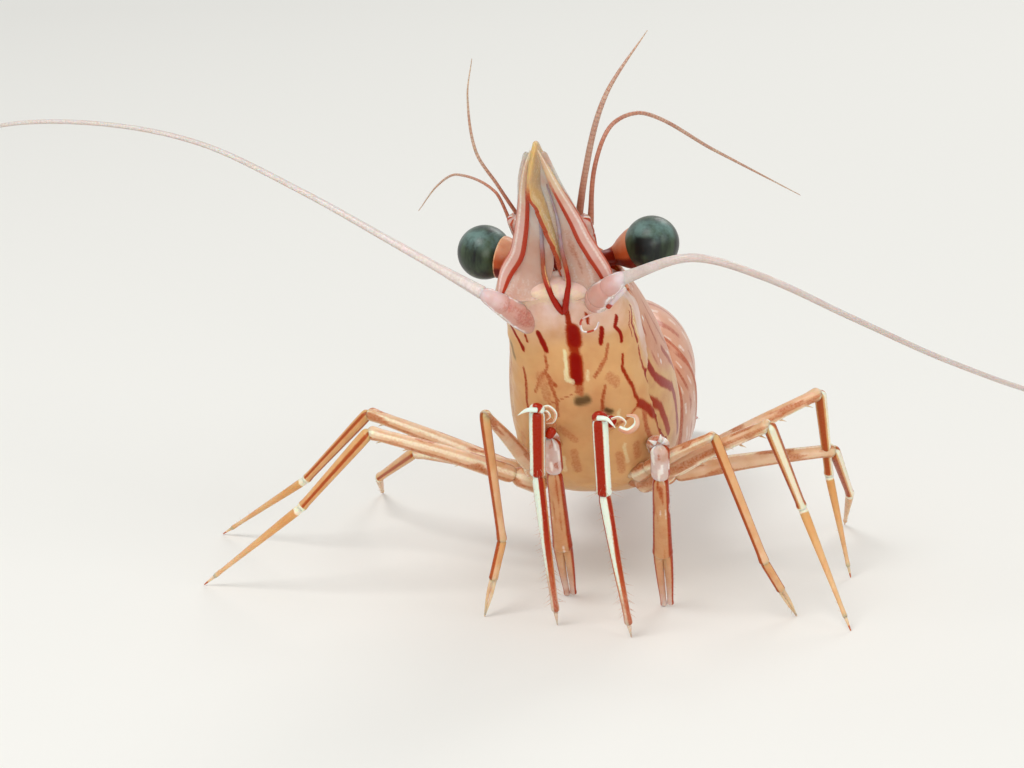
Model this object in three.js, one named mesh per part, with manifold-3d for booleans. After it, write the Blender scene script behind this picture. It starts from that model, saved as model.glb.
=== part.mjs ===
// A hinge-beaked dancing shrimp, life size, standing on the floor with its head raised.
// Millimetres, +Z up. The animal faces -Y, its left side is +X, and the floor is z = 0.
// The head and carapace are drawn in the body's own frame (left, back, up), measured from
// the middle of the eyes. Legs and feelers are drawn from the floor, in the same frame
// before it is centred: x to the animal's left, y backwards from the eyes, z up.
import * as THREE from "three";
import { mergeVertices } from "three/addons/utils/BufferGeometryUtils.js";
import Module from "manifold-3d";

const wasm = await Module();
wasm.setup();

// ---- Driving sizes -------------------------------------------------------------------
const EYE_HEIGHT = 20; // floor to the middle of the eyes
const HEAD_RISE = 40; // degrees that the head and carapace are raised in front
const HEAD_LEAN = 4; // degrees that the head leans, the left eye higher
const HEAD_TURN = 2; // degrees that the nose turns to the animal's right
const CORNEA = 1.45; // radius
const CARAPACE_FRONT = 1.2; // behind the eyes
const CARAPACE_BACK = 15;
const SHELL = 0.6; // thickness of the carapace
const TRUNK_LEFT = 0.15; // the trunk's middle, left of the middle of the eyes
const HAIR = 0.01; // clearance of neighbouring pieces
const LEAST = 0.26; // half thickness of the thinnest feelers and leg tips

const SIDES = { right: -1, left: 1 };

// ---- The body's frame ----------------------------------------------------------------
const degrees = THREE.MathUtils.degToRad;
const bodyFrame = new THREE.Matrix4()
  .makeTranslation(0, 0, EYE_HEIGHT)
  .multiply(new THREE.Matrix4().makeRotationZ(-degrees(HEAD_TURN)))
  .multiply(new THREE.Matrix4().makeRotationX(-degrees(HEAD_RISE)))
  .multiply(new THREE.Matrix4().makeRotationY(-degrees(HEAD_LEAN)));

function onBody(left, back, up) {
  return new THREE.Vector3(left, back, up).applyMatrix4(bodyFrame);
}

function at(x, y, z) {
  return new THREE.Vector3(x, y, z);
}

// ---- Making solids -------------------------------------------------------------------
// A closed geometry as a solid, with its shared vertices merged.
function solidFrom(geometry) {
  geometry.deleteAttribute("normal");
  geometry.deleteAttribute("uv");
  const merged = mergeVertices(geometry, 1e-4);
  const mesh = new wasm.Mesh({
    numProp: 3,
    vertProperties: merged.attributes.position.array,
    triVerts: new Uint32Array(merged.index.array),
  });
  return new wasm.Manifold(mesh);
}

// The largest piece that a cut leaves.
function largest(solid) {
  const pieces = solid.decompose();
  return pieces.reduce((best, piece) => (piece.volume() > best.volume() ? piece : best));
}

// A smooth value through a few [place, value] pairs.
function through(...pairs) {
  const curve = new THREE.SplineCurve(pairs.map(([place, value]) => new THREE.Vector2(place, value)));
  const steps = curve.getPoints(pairs.length * 12);
  return (place) => {
    let k = 1;
    while (k < steps.length - 1 && steps[k].x < place) k += 1;
    const share = THREE.MathUtils.clamp((place - steps[k - 1].x) / (steps[k].x - steps[k - 1].x), 0, 1);
    return THREE.MathUtils.lerp(steps[k - 1].y, steps[k].y, share);
  };
}

// A cylinder whose vertices are put in place one by one. turn runs round each ring from its
// top, along runs from 0 at the first ring to 1 at the last, and reach is 0 at a cap's middle.
function ringSolid(sides, rings, place) {
  const cylinder = new THREE.CylinderGeometry(1, 1, 1, sides, rings);
  const position = cylinder.getAttribute("position");
  for (let i = 0; i < position.count; i += 1) {
    const turn = Math.atan2(position.getX(i), position.getZ(i));
    const reach = Math.hypot(position.getX(i), position.getZ(i));
    const point = place(turn, 0.5 - position.getY(i), reach);
    position.setXYZ(i, point.x, point.y, point.z);
  }
  return solidFrom(cylinder);
}

// A tube with a ring at each centre. A girth is its half thickness, or [across, deep].
function tube(centres, girths, sides = 8, across = at(0, 1, 0)) {
  const curve = new THREE.CatmullRomCurve3(centres, false, "centripetal");
  const last = centres.length - 1;
  const side = across.clone();
  const frames = centres.map((centre, i) => {
    const run = curve.getTangent(i / last);
    side.addScaledVector(run, -side.dot(run)).normalize();
    const girth = Array.isArray(girths[i]) ? girths[i] : [girths[i], girths[i]];
    return { centre, girth, side: side.clone(), rise: new THREE.Vector3().crossVectors(run, side) };
  });
  return ringSolid(sides, last, (turn, along, reach) => {
    const ring = frames[Math.round(along * last)];
    return ring.centre
      .clone()
      .addScaledVector(ring.side, Math.sin(turn) * ring.girth[0] * reach)
      .addScaledVector(ring.rise, Math.cos(turn) * ring.girth[1] * reach);
  });
}

// ---- Colours -------------------------------------------------------------------------
const group = new THREE.Group();
const animal = new THREE.Group();
group.add(animal);

const finish = {
  shell: { color: 0xd08a5a, roughness: 0.35, metalness: 0 },
  flesh: { color: 0xd9a46a, roughness: 0.45, metalness: 0 },
  limb: { color: 0xc4512a, roughness: 0.35, metalness: 0 },
  feeler: { color: 0xd8c4b4, roughness: 0.4, metalness: 0 },
  eyestalk: { color: 0xc8501e, roughness: 0.35, metalness: 0 },
  cornea: { color: 0x1c3a30, roughness: 0.12, metalness: 0 },
};

function add(name, solid, look) {
  const made = solid.getMesh();
  const geometry = new THREE.BufferGeometry()
    .setAttribute("position", new THREE.BufferAttribute(made.vertProperties, 3))
    .setIndex(new THREE.BufferAttribute(made.triVerts, 1));
  geometry.computeVertexNormals();
  const mesh = new THREE.Mesh(geometry, new THREE.MeshStandardMaterial(look));
  mesh.name = name;
  animal.add(mesh);
}

// Every piece is cut clear of those before it, and drawn in by a hair on each side, so that
// no two share any room.
const grown = [];
function boxOf(solid) {
  const { min, max } = solid.boundingBox();
  return new THREE.Box3(at(...min), at(...max));
}
function grow(name, solid, look) {
  const box = boxOf(solid);
  const near = grown.filter((other) => box.intersectsBox(other.box)).map((other) => other.piece);
  const piece = largest(near.reduce((left, other) => left.subtract(other), solid));
  const pieceBox = boxOf(piece);
  grown.push({ piece, box: pieceBox });
  const middle = pieceBox.getCenter(at(0, 0, 0));
  const less = pieceBox.getSize(at(0, 0, 0)).toArray().map((size) => 1 - (2 * HAIR) / size);
  const centred = piece.translate(middle.clone().negate().toArray());
  add(name, centred.scale(less).translate(middle.toArray()), look);
}

// ---- Head and thorax -----------------------------------------------------------------
// Half width, highest line and lowest line of the carapace, from its front to its back.
const shellHalf = through([0, 2.85], [3, 3.45], [6, 4.05], [9, 4.4], [12, 4.35], [16, 3.7]);
const shellTop = through([0, 0.6], [3, 1.5], [7, 2.1], [11, 1.8], [16, 0.4]);
const shellLow = through([0, -4.8], [3, -6.2], [7, -8.2], [11, -8.5], [16, -6.0]);

// A point of a ring round the trunk: egg-shaped, and fullest below the middle.
function trunkPoint(turn, back, reach, half, top, low) {
  const deep = (top - low) / 2;
  const share = Math.abs(Math.sin(turn)) ** (Math.cos(turn) < 0 ? 0.55 : 1);
  const fuller = 1 - 0.12 * Math.cos(turn) * share;
  const across = -half * Math.sign(Math.sin(turn)) * share * fuller * reach;
  return onBody(TRUNK_LEFT + across, back, (top + low) / 2 + deep * Math.cos(turn) * reach);
}

// The carapace's form: notched for the eyes in front, rounded off at its lower back corners.
function shellForm(inset, front, back, sides, rings) {
  return ringSolid(sides, rings, (turn, along, reach) => {
    const flank = Math.sin(turn) ** 2;
    const start = front + 0.9 * flank * Math.max(0, Math.cos(turn));
    const end = back - 1.8 * Math.max(0, -Math.cos(turn));
    const place = THREE.MathUtils.lerp(start, end, along);
    const half = shellHalf(place) - inset;
    return trunkPoint(turn, place, reach, half, shellTop(place) - inset, shellLow(place) + inset);
  });
}

// The underside, from the mouth to the last legs, in the carapace's open belly.
const bellyHalf = through([-1, 2.4], [1, 3.0], [3, 3.2], [7, 3.8], [11, 3.7], [14.4, 2.6]);
const bellyLow = through([-1, -4.2], [1, -5.1], [3, -6.5], [5, -7.7], [8, -9.0], [11, -9.1], [14.4, -7.3]);
const belly = ringSolid(12, 6, (turn, along, reach) => {
  const place = THREE.MathUtils.lerp(-0.4, 14.4, along);
  return trunkPoint(turn, place, reach, bellyHalf(place), -2.5, bellyLow(place));
});

// The front of the head, between the feelers.
const headHalf = through([-1.4, 1.8], [-0.6, 2.6], [0.6, 2.9], [2.4, 3.1]);
const headTop = through([-1.4, -2.9], [-0.6, -2.2], [0.6, -0.9], [2.4, 0.4]);
const headLow = through([-1.4, -4.1], [-0.6, -4.5], [0.6, -4.9], [2.4, -5.4]);
const face = ringSolid(12, 3, (turn, along, reach) => {
  const place = THREE.MathUtils.lerp(-1.4, 2.4, along);
  return trunkPoint(turn, place, reach, headHalf(place), headTop(place), headLow(place));
});

const trunk = shellForm(SHELL, CARAPACE_FRONT - 0.5, CARAPACE_BACK + 0.4, 14, 5).add(belly).add(face);
grow("carapace", shellForm(0, CARAPACE_FRONT, CARAPACE_BACK, 18, 7).subtract(trunk), finish.shell);

// The trunk is parted by two thin cuts: the head in front, and the mouthparts below it.
function direction(left, back, up) {
  return onBody(left, back, up).sub(onBody(0, 0, 0)).normalize();
}
function kept(solid, towards, place) {
  return largest(solid.trimByPlane(towards.toArray(), place.dot(towards)));
}
const neck = { towards: direction(0, 1, 0), place: onBody(0, 1.3, 0) };
const jaw = { towards: direction(0, -0.72, -0.7), place: onBody(0, 5.4, -7.4) };
const behindHead = kept(trunk, neck.towards, neck.place);
grow("head", kept(trunk, neck.towards.clone().negate(), neck.place), finish.flesh);
grow("mouthparts", kept(behindHead, jaw.towards, jaw.place), finish.flesh);
grow("thorax", kept(behindHead, jaw.towards.clone().negate(), jaw.place), finish.flesh);

// ---- Beak, eyes ------------------------------------------------------------------------
// The beak is a thin upright blade, hinged to the carapace, with teeth on both its edges.
const BEAK = { root: [0, 2.4, 1.3], tip: [0.1, -10.6, 0.3], wide: 0.6, highRoot: 0.67, highTip: 0.12 };
// Depth of its lower edge below the line from root to tip, by share along the beak.
const beakLow = through(
  [0, 0.7], [0.08, 2.2], [0.18, 3.0], [0.34, 3.6], [0.5, 3.35],
  [0.65, 3.05], [0.8, 2.5], [0.9, 2.0], [0.96, 1.1], [1, 0.2],
);
// Teeth: how many, how far one slopes as a share of the beak, and how high it stands. The
// upper ones start near the tip.
const LOW_TEETH = { count: 9, slope: 0.03, high: 0.28 };
const HIGH_TEETH = { count: 4, slope: 0.05, high: 0.22, first: 0.93, apart: 0.22 };
function beakOutline(long) {
  const outline = new THREE.Shape();
  const height = (share) => THREE.MathUtils.lerp(BEAK.highRoot, BEAK.highTip, share);
  outline.moveTo(0, -height(0));
  for (let tooth = 1; tooth <= LOW_TEETH.count; tooth += 1) {
    const share = tooth / (LOW_TEETH.count + 1);
    outline.lineTo(long * share, -beakLow(share));
    outline.lineTo(long * (share + LOW_TEETH.slope), LOW_TEETH.high - beakLow(share));
  }
  outline.lineTo(long, 0);
  for (let tooth = 0; tooth < HIGH_TEETH.count; tooth += 1) {
    const share = HIGH_TEETH.first - HIGH_TEETH.apart * tooth;
    outline.lineTo(long * share, height(share) + HIGH_TEETH.high);
    outline.lineTo(long * (share - HIGH_TEETH.slope), height(share));
  }
  outline.lineTo(0, height(0));
  return outline;
}
const beakRoot = onBody(...BEAK.root);
const beakRun = onBody(...BEAK.tip).sub(beakRoot);
const beakBlade = new THREE.ExtrudeGeometry(beakOutline(beakRun.length()), {
  depth: BEAK.wide,
  bevelEnabled: false,
});
beakRun.normalize();
const beakRise = new THREE.Vector3().crossVectors(direction(1, 0, 0), beakRun).normalize();
const beakAcross = new THREE.Vector3().crossVectors(beakRun, beakRise);
beakBlade.translate(0, 0, -BEAK.wide / 2);
beakBlade.applyMatrix4(new THREE.Matrix4().makeBasis(beakRun, beakRise, beakAcross).setPosition(beakRoot));
grow("rostrum", solidFrom(beakBlade), finish.shell);

// Each eye is a round cornea on a slim stalk that swells to a cup behind it.
const EYES = {
  right: { middle: [-4.48, 0, -0.2], looks: [-1, 0.2, 0.42], rim: -0.97 },
  left: { middle: [4.45, 0, 0.25], looks: [0.85, -0.55, 0], rim: -0.5 },
};
for (const [name, side] of Object.entries(SIDES)) {
  const eye = EYES[name];
  const middle = onBody(...eye.middle);
  const looks = direction(...eye.looks);
  const ball = new THREE.SphereGeometry(CORNEA, 12, 9);
  ball.translate(middle.x, middle.y, middle.z);
  const rim = middle.clone().addScaledVector(looks, eye.rim);
  grow("eye_" + name, kept(solidFrom(ball), looks, rim), finish.cornea);
  const stem = onBody(side * 1.6, 0.35, -0.6);
  const centres = [
    onBody(side * 0.6, 0.9, -0.9),
    stem,
    middle.clone().addScaledVector(looks, -1.9).lerp(stem, 0.25),
    middle.clone().addScaledVector(looks, -1.25),
    middle.clone().addScaledVector(looks, -0.75),
    middle,
  ];
  const stalk = tube(centres, [0.5, 0.5, 0.55, 0.95, 1.2, 1.4], 9);
  grow("eyestalk_" + name, kept(stalk, looks.clone().negate(), rim), finish.eyestalk);
}

// ---- Antennules and antennae -----------------------------------------------------------
// A feeler that runs smoothly through a few points, tapering from its root to its tip.
function feeler(points, thick, thin, rings) {
  const centres = new THREE.CatmullRomCurve3(points, false, "centripetal").getSpacedPoints(rings);
  return tube(centres, centres.map((centre, i) => THREE.MathUtils.lerp(thick, thin, i / rings)), 6);
}
const bodyPoints = (places) => places.map((place) => onBody(...place));

// Each antennule has a three-jointed stem, with a thick upper whip and a thin outer one.
const ANTENNULES = {
  right: {
    stem: [[-1.0, 1.4, -1.9], [-1.3, -1.2, -1.5], [-1.6, -3.6, -1.1], [-1.75, -5.3, -0.95]],
    upper: [at(-2.6, -5.6, 24.4), at(-3.5, -6.6, 26.3), at(-3.7, -7.5, 29.2), at(-3.4, -7.8, 31.2)],
    outer: [at(-3.0, -4.4, 23.8), at(-5.5, -2, 24.1), at(-6.9, -0.5, 23.2), at(-8.6, 2, 21.2)],
  },
  left: {
    stem: [[1.0, 1.4, -1.9], [1.3, -1.2, -1.5], [1.55, -3.6, -1.15], [1.6, -5.2, -1.0]],
    upper: [at(1.9, -5.4, 25.1), at(2.6, -6.1, 28), at(3.3, -6, 29.8), at(4.9, -4.6, 32.4)],
    outer: [
      at(2.2, -4.3, 25.3), at(2.9, -3.4, 27.3), at(4.3, -1.5, 27.6), at(7.2, 3, 25), at(11.2, 9, 21.5),
    ],
  },
};
for (const [name, side] of Object.entries(SIDES)) {
  const { stem, upper, outer } = ANTENNULES[name];
  const places = bodyPoints(stem);
  const root = (out) => places.at(-1).clone().addScaledVector(direction(side, 0, 0), out);
  grow("antennule_stem_" + name, tube(places, [0.75, 0.7, 0.65, 0.6]), finish.shell);
  grow("antennule_upper_" + name, feeler([root(-0.3), ...upper], 0.32, LEAST, 7), finish.feeler);
  grow("antennule_outer_" + name, feeler([root(0.36), ...outer], 0.3, LEAST, 8), finish.feeler);
}

// Each antenna has a stout stem, a leaf-shaped scale above it and a long whip in three lengths.
const ANTENNAE = {
  right: {
    stem: [[-1.7, 0.9, -4.0], [-2.1, -0.6, -4.3], [-2.8, -2.2, -4.4], [-3.7, -3.4, -4.25]],
    scale: [
      [-2.45, -1.0, -3.2], [-1.85, -2.1, -3.0], [-1.4, -3.4, -2.55], [-0.92, -5.6, -1.85],
      [-0.68, -7.6, -1.25], [-0.5, -9, -0.8], [-0.3, -10.6, -0.2],
    ],
    wide: [0.85, 1.15, 1.0, 0.77, 0.56, 0.44, 0.2],
    whip: [
      at(-3.53, -5.5, 18.8), at(-8, -4.5, 20.7), at(-13.9, -2.5, 23), at(-20.1, 0, 24.8),
      at(-26.8, 3, 25.1), at(-34, 6.5, 24.1), at(-41, 12, 21), at(-46, 20, 16.5), at(-48, 28, 12),
    ],
  },
  left: {
    stem: [[1.3, 0.5, -3.8], [1.75, -0.9, -4.05], [2.5, -2.5, -4.15], [4.0, -4.2, -3.8]],
    scale: [
      [1.75, 0.2, -3.7], [1.75, -2.3, -2.9], [1.3, -4.3, -2.3], [1.08, -6, -1.75],
      [0.92, -7.2, -1.35], [0.78, -8.4, -1.0], [0.58, -10.6, -0.2],
    ],
    wide: [1.3, 1.3, 1.03, 0.87, 0.68, 0.5, 0.22],
    whip: [
      at(4.28, -5.5, 20), at(7.4, -5.8, 21.1), at(10.9, -5.2, 20.2), at(15.3, -3.2, 17.8),
      at(20.2, 0, 14.9), at(25.5, 3.8, 12.3), at(33, 10, 10), at(40, 18, 8.6),
      at(46, 28, 7.5), at(48, 36, 6.8),
    ],
  },
};
const SCALE = { thick: 0.27, tilt: 0.35 };
const WHIP = { thick: 0.34, rings: 21, lengths: 3 };
for (const [name, side] of Object.entries(SIDES)) {
  const { stem, scale, wide, whip } = ANTENNAE[name];
  grow("antenna_stem_" + name, tube(bodyPoints(stem), [0.8, 0.72, 0.6, 0.4]), finish.flesh);
  const girths = wide.map((half) => [half, SCALE.thick]);
  const leaf = tube(bodyPoints(scale), girths, 8, direction(side, 0, SCALE.tilt));
  grow("antennal_scale_" + name, leaf, finish.shell);
  const line = new THREE.CatmullRomCurve3(whip, false, "centripetal");
  const whole = feeler(whip, WHIP.thick, LEAST, WHIP.rings);
  for (let k = 0; k < WHIP.lengths; k += 1) {
    let length = whole;
    const start = k / WHIP.lengths;
    const end = (k + 1) / WHIP.lengths;
    if (start > 0) length = kept(length, line.getTangentAt(start), line.getPointAt(start));
    if (end < 1) length = kept(length, line.getTangentAt(end).negate(), line.getPointAt(end));
    grow("antenna_whip_" + name + "_" + (k + 1), length, finish.feeler);
  }
}

// ---- Abdomen and tail fan --------------------------------------------------------------
// The six segments follow a humped line, each a hood whose back edge lies over the next.
const SPINE = new THREE.CatmullRomCurve3(
  [
    at(0.3, 9.2, 9.3), at(0.3, 10.8, 8.3), at(0.3, 13.6, 7.9), at(0.2, 17, 8.8),
    at(0, 20.5, 8.2), at(-0.4, 23.6, 6.2), at(-0.9, 26.2, 4.4), at(-1.9, 30.4, 3.1),
  ],
  false,
  "centripetal",
);
const SPINE_LONG = SPINE.getLength();
// Half width, height above the line and depth of the flaps below it, from front to back.
const hoodHalf = through(
  [0, 2.6], [1.4, 2.9], [5, 4.25], [9, 4.1], [13, 3.1],
  [16.5, 2.4], [19, 1.9], [24, 1.45],
);
const hoodHigh = through(
  [0, 1.9], [1.4, 2.4], [5, 4.3], [9, 4.4], [13, 3.3],
  [16.5, 2.5], [19, 1.9], [24, 1.3],
);
const hoodDeep = through(
  [0, 1.9], [1.4, 2.4], [5, 4.2], [9, 3.7], [13, 2.9],
  [16.5, 2.3], [19, 1.6], [24, 1.2],
);
const SEGMENTS = [
  { name: "abdomen_2", from: 3.0, to: 6.6, flap: 0.9 },
  { name: "abdomen_1", from: 0, to: 4.0, flap: 0 },
  { name: "abdomen_3", from: 5.4, to: 11.2, flap: 0.3 },
  { name: "abdomen_4", from: 10, to: 14.2, flap: 0.4 },
  { name: "abdomen_5", from: 13, to: 17, flap: 0.3 },
  { name: "abdomen_6", from: 16, to: SPINE_LONG, flap: 0 },
];
// A place on the ring round the spine: arched above, hollow between the flaps below.
function hoodPoint(turn, place, reach, flare) {
  const share = THREE.MathUtils.clamp(place / SPINE_LONG, 0, 1);
  const run = SPINE.getTangentAt(share);
  const across = at(1, 0, 0).addScaledVector(run, -run.x).normalize();
  const rise = new THREE.Vector3().crossVectors(across, run);
  const low = Math.max(0, -Math.cos(turn));
  const width = Math.sign(Math.sin(turn)) * Math.abs(Math.sin(turn)) ** (low > 0 ? 0.45 : 1);
  const above = hoodHigh(place) * Math.cos(turn);
  const below = -1.5 * hoodDeep(place) * low * (1 - 0.5 * low ** 4);
  const height = low > 0 ? below : above;
  return SPINE.getPointAt(share)
    .addScaledVector(across, -width * hoodHalf(place) * flare * reach)
    .addScaledVector(rise, height * flare * reach);
}
for (const { name, from, to, flap } of SEGMENTS) {
  const hood = ringSolid(16, 3, (turn, along, reach) => {
    const spread = flap * Math.max(0, -Math.cos(turn)) * (2 * along - 1);
    return hoodPoint(turn, THREE.MathUtils.lerp(from, to, along) + spread, reach, 0.97 + 0.05 * along);
  });
  grow(name, hood, finish.shell);
}

// The tail fan: a pointed telson between two pairs of leaf-shaped uropods.
const FAN = { root: at(-1.7, 29.6, 3.2), drop: -0.26, thick: 0.27 };
const FAN_TURN = -0.2; // radians that the fan points to the animal's right
function fanLeaf(left, angle, long, widths) {
  const turned = FAN_TURN + angle;
  const run = at(Math.sin(turned), Math.cos(turned), FAN.drop).normalize();
  const root = FAN.root.clone().add(at(left, 0, -Math.abs(left) * 0.35));
  const step = long / (widths.length - 1);
  const centres = widths.map((wide, i) => root.clone().addScaledVector(run, step * i));
  return tube(centres, widths.map((wide) => [wide, FAN.thick]), 8, at(1, 0, 0));
}
grow("telson", fanLeaf(0, 0, 6.2, [0.9, 1.15, 0.9, 0.65, 0.3]), finish.shell);
for (const [name, side] of Object.entries(SIDES)) {
  const inner = fanLeaf(side * 0.9, side * 0.28, 6.0, [0.4, 0.75, 0.95, 0.85, 0.35]);
  const outer = fanLeaf(side * 1.5, side * 0.48, 6.2, [0.4, 0.8, 1.0, 0.95, 0.4]);
  grow("uropod_inner_" + name, inner, finish.shell);
  grow("uropod_outer_" + name, outer, finish.shell);
}

// Five pairs of swimmerets hang from the hollow below the first five segments.
const SWIMMERETS = [2.6, 5.2, 8.6, 12.2, 15.2];
SWIMMERETS.forEach((place, k) => {
  for (const [name, side] of Object.entries(SIDES)) {
    const root = SPINE.getPointAt(place / SPINE_LONG).add(at(side * 0.4 * hoodHalf(place), 0, -1.2));
    const long = 3.6 - 0.2 * k;
    const hang = (share) => at(0, 0.5 * long * share ** 1.5, -long * share);
    const centres = [0, 0.4, 0.7, 1].map((share) => root.clone().add(hang(share)));
    const leaf = tube(centres, [[0.4, 0.4], [0.5, 0.32], [0.7, 0.28], [0.35, LEAST]], 6, at(1, 0, 0));
    grow("swimmeret_" + (k + 1) + "_" + name, leaf, finish.limb);
  }
});

// ---- Limbs -----------------------------------------------------------------------------
// A limb runs through its joints, each given with the half thickness there. Every long
// stretch keeps a ring near both its ends, so that the joints stay crisp.
const CRISP = { near: 0.45, slim: 0.92, long: 3 };
function limb(joints, sides) {
  const centres = [];
  const girths = [];
  joints.forEach(([place, girth], i) => {
    if (i > 0) {
      const [before, beforeGirth] = joints[i - 1];
      const long = place.distanceTo(before);
      const near = CRISP.near / long;
      for (const share of long > CRISP.long ? [near, 0.5, 1 - near] : [0.5]) {
        centres.push(before.clone().lerp(place, share));
        girths.push(THREE.MathUtils.lerp(beforeGirth, girth, share) * (share === 0.5 ? 1 : CRISP.slim));
      }
    }
    centres.push(place);
    girths.push(girth);
  });
  return tube(centres, girths, sides);
}

// What stands on the floor runs a little below it, and is cut there to a small flat.
const BELOW = -0.2;
const LIMBS = {
  third_maxilliped: {
    sides: 7,
    right: [
      [onBody(-1.5, 6.8, -7.4), 0.55], [at(-0.55, -5.4, 12.4), 0.54],
      [at(-0.6, -4.9, 8.9), 0.5], [at(0.1, -3, BELOW), LEAST],
    ],
    left: [
      [onBody(1.7, 6.4, -7.2), 0.55], [at(2.85, -5.9, 12.3), 0.54],
      [at(3, -5.3, 8.2), 0.5], [at(4.3, -4.1, BELOW), LEAST],
    ],
  },
  leg_1: {
    sides: 7,
    right: [
      [onBody(-1.7, 7.6, -7.9), 0.6], [at(-0.25, -3.2, 10.4), 0.5],
      [at(-0.15, -0.9, 4.4), 0.54], [at(-0.15, 2, BELOW), 0.32],
    ],
    left: [
      [onBody(3.0, 7.6, -7.5), 0.6], [at(5.6, -3.5, 10.5), 0.52],
      [at(5.3, -0.7, 4.4), 0.54], [at(5.35, 1.3, BELOW), 0.32],
    ],
  },
  leg_2: {
    sides: 6,
    right: [
      [onBody(-2, 9.2, -8.2), 0.55], [at(-3.75, -3.6, 11.7), 0.34],
      [at(-3.1, -2.2, 4.3), 0.32], [at(-4, -2.5, BELOW), LEAST],
    ],
    left: [
      [onBody(2.2, 9.2, -8.2), 0.55], [at(8.15, -1.5, 10.6), 0.34],
      [at(10.85, -0.5, 3.45), 0.32], [at(12.45, 1.1, BELOW), LEAST],
    ],
  },
  leg_3: {
    sides: 6,
    right: [
      [onBody(-2, 10.2, -8.3), 0.62], [at(-10.4, -2.2, 9.9), 0.42],
      [at(-14.3, -2, 5.35), 0.36], [at(-20.4, -0.5, BELOW), LEAST],
    ],
    left: [
      [onBody(2.3, 10.2, -8.3), 0.62], [at(11.1, -2, 11.5), 0.42],
      [at(12.6, 1, 6.2), 0.36], [at(15.55, -0.7, BELOW), LEAST],
    ],
  },
  leg_4: {
    sides: 6,
    right: [
      [onBody(-2, 11.7, -7.7), 0.62], [at(-12.3, 5, 8.9), 0.42],
      [at(-16.3, 6, 4.45), 0.36], [at(-22.1, 8.6, BELOW), LEAST],
    ],
    left: [
      [onBody(2.3, 11.7, -7.7), 0.62], [at(12.8, 6.5, 11.1), 0.42],
      [at(13.2, 8.5, 5.85), 0.36], [at(14.6, 8.2, BELOW), LEAST],
    ],
  },
  leg_5: {
    sides: 6,
    right: [
      [onBody(-1.8, 13, -6.7), 0.6], [at(-10.6, 9, 5.6), 0.4],
      [at(-13.8, 13, 2.7), 0.34], [at(-15, 18.5, BELOW), LEAST],
    ],
    left: [
      [onBody(2, 13, -6.7), 0.6], [at(13.5, 8, 7.45), 0.4],
      [at(14, 12.5, 3.6), 0.34], [at(13.2, 18, BELOW), LEAST],
    ],
  },
};
for (const [kind, pair] of Object.entries(LIMBS)) {
  for (const name of Object.keys(SIDES)) {
    grow(kind + "_" + name, limb(pair[name], pair.sides).trimByPlane([0, 0, 1], 0), finish.limb);
  }
}

// The origin is the middle of the bounding box's floor.
const size = new THREE.Box3().setFromObject(animal);
animal.position.set(-(size.min.x + size.max.x) / 2, -(size.min.y + size.max.y) / 2, -size.min.z);

export default group;
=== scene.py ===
import bisect
import math
import random

import bmesh
import bpy
from mathutils import Matrix, Vector, noise


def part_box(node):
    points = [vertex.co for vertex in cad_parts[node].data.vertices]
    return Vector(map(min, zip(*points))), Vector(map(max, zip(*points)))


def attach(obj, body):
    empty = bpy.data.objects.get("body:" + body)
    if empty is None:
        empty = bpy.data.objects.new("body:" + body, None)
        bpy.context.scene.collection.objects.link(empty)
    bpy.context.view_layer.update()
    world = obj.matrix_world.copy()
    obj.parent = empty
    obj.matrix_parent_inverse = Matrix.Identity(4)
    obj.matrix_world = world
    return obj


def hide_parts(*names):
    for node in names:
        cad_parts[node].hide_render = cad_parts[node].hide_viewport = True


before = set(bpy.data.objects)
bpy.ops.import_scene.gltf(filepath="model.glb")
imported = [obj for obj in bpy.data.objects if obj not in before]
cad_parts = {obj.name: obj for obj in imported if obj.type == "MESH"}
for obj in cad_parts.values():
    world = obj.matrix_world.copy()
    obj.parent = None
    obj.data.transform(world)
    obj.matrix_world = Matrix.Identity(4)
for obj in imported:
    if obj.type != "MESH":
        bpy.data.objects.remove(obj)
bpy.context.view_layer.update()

# ---- Stage: camera, floor and light ------------------------------------------------------
# The animal stands on a plain pale floor under one broad soft lamp. Everything is drawn in
# millimetres round HOME, the floor straight below the middle of the eyes, then made metres.
MM = 0.001
EYE_FRONT = 1.6135  # the right cornea's foremost point, in front of the middle of the eyes
HOME = Vector((0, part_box("eye_right")[0].y + EYE_FRONT * MM, 0))
EYE_HEIGHT = 20

VIEW_TURN = math.radians(12)
VIEW_RISE = math.radians(15)
CAMERA_PLACE = Vector((30.63, -158.32, 55.78))
towards_camera = Vector((
    math.sin(VIEW_TURN) * math.cos(VIEW_RISE),
    -math.cos(VIEW_TURN) * math.cos(VIEW_RISE),
    math.sin(VIEW_RISE),
))
camera = bpy.data.objects.new("camera", bpy.data.cameras.new("camera"))
camera.data.lens = 110
camera.data.sensor_width = 36
camera.data.clip_start = 0.005
camera.location = HOME + MM * CAMERA_PLACE
camera.rotation_euler = towards_camera.to_track_quat("Z", "Y").to_euler()
bpy.context.scene.collection.objects.link(camera)
bpy.context.scene.camera = camera
bpy.context.scene.view_settings.view_transform = "Standard"


def linear(hex_colour):
    """An sRGB colour such as "c89a60" as linear red, green, blue and alpha."""
    parts = [int(hex_colour[i : i + 2], 16) / 255 for i in (0, 2, 4)]
    return (*[c / 12.92 if c <= 0.04045 else ((c + 0.055) / 1.055) ** 2.4 for c in parts], 1)


def add(tree, kind, inputs=None, **settings):
    """Adds a shader node with its settings, and gives its inputs a value or a link."""
    made = tree.nodes.new("ShaderNode" + kind)
    for name, value in settings.items():
        setattr(made, name, value)
    for name, value in (inputs or {}).items():
        if isinstance(value, bpy.types.NodeSocket):
            tree.links.new(value, made.inputs[name])
        else:
            made.inputs[name].default_value = value
    return made


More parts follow.
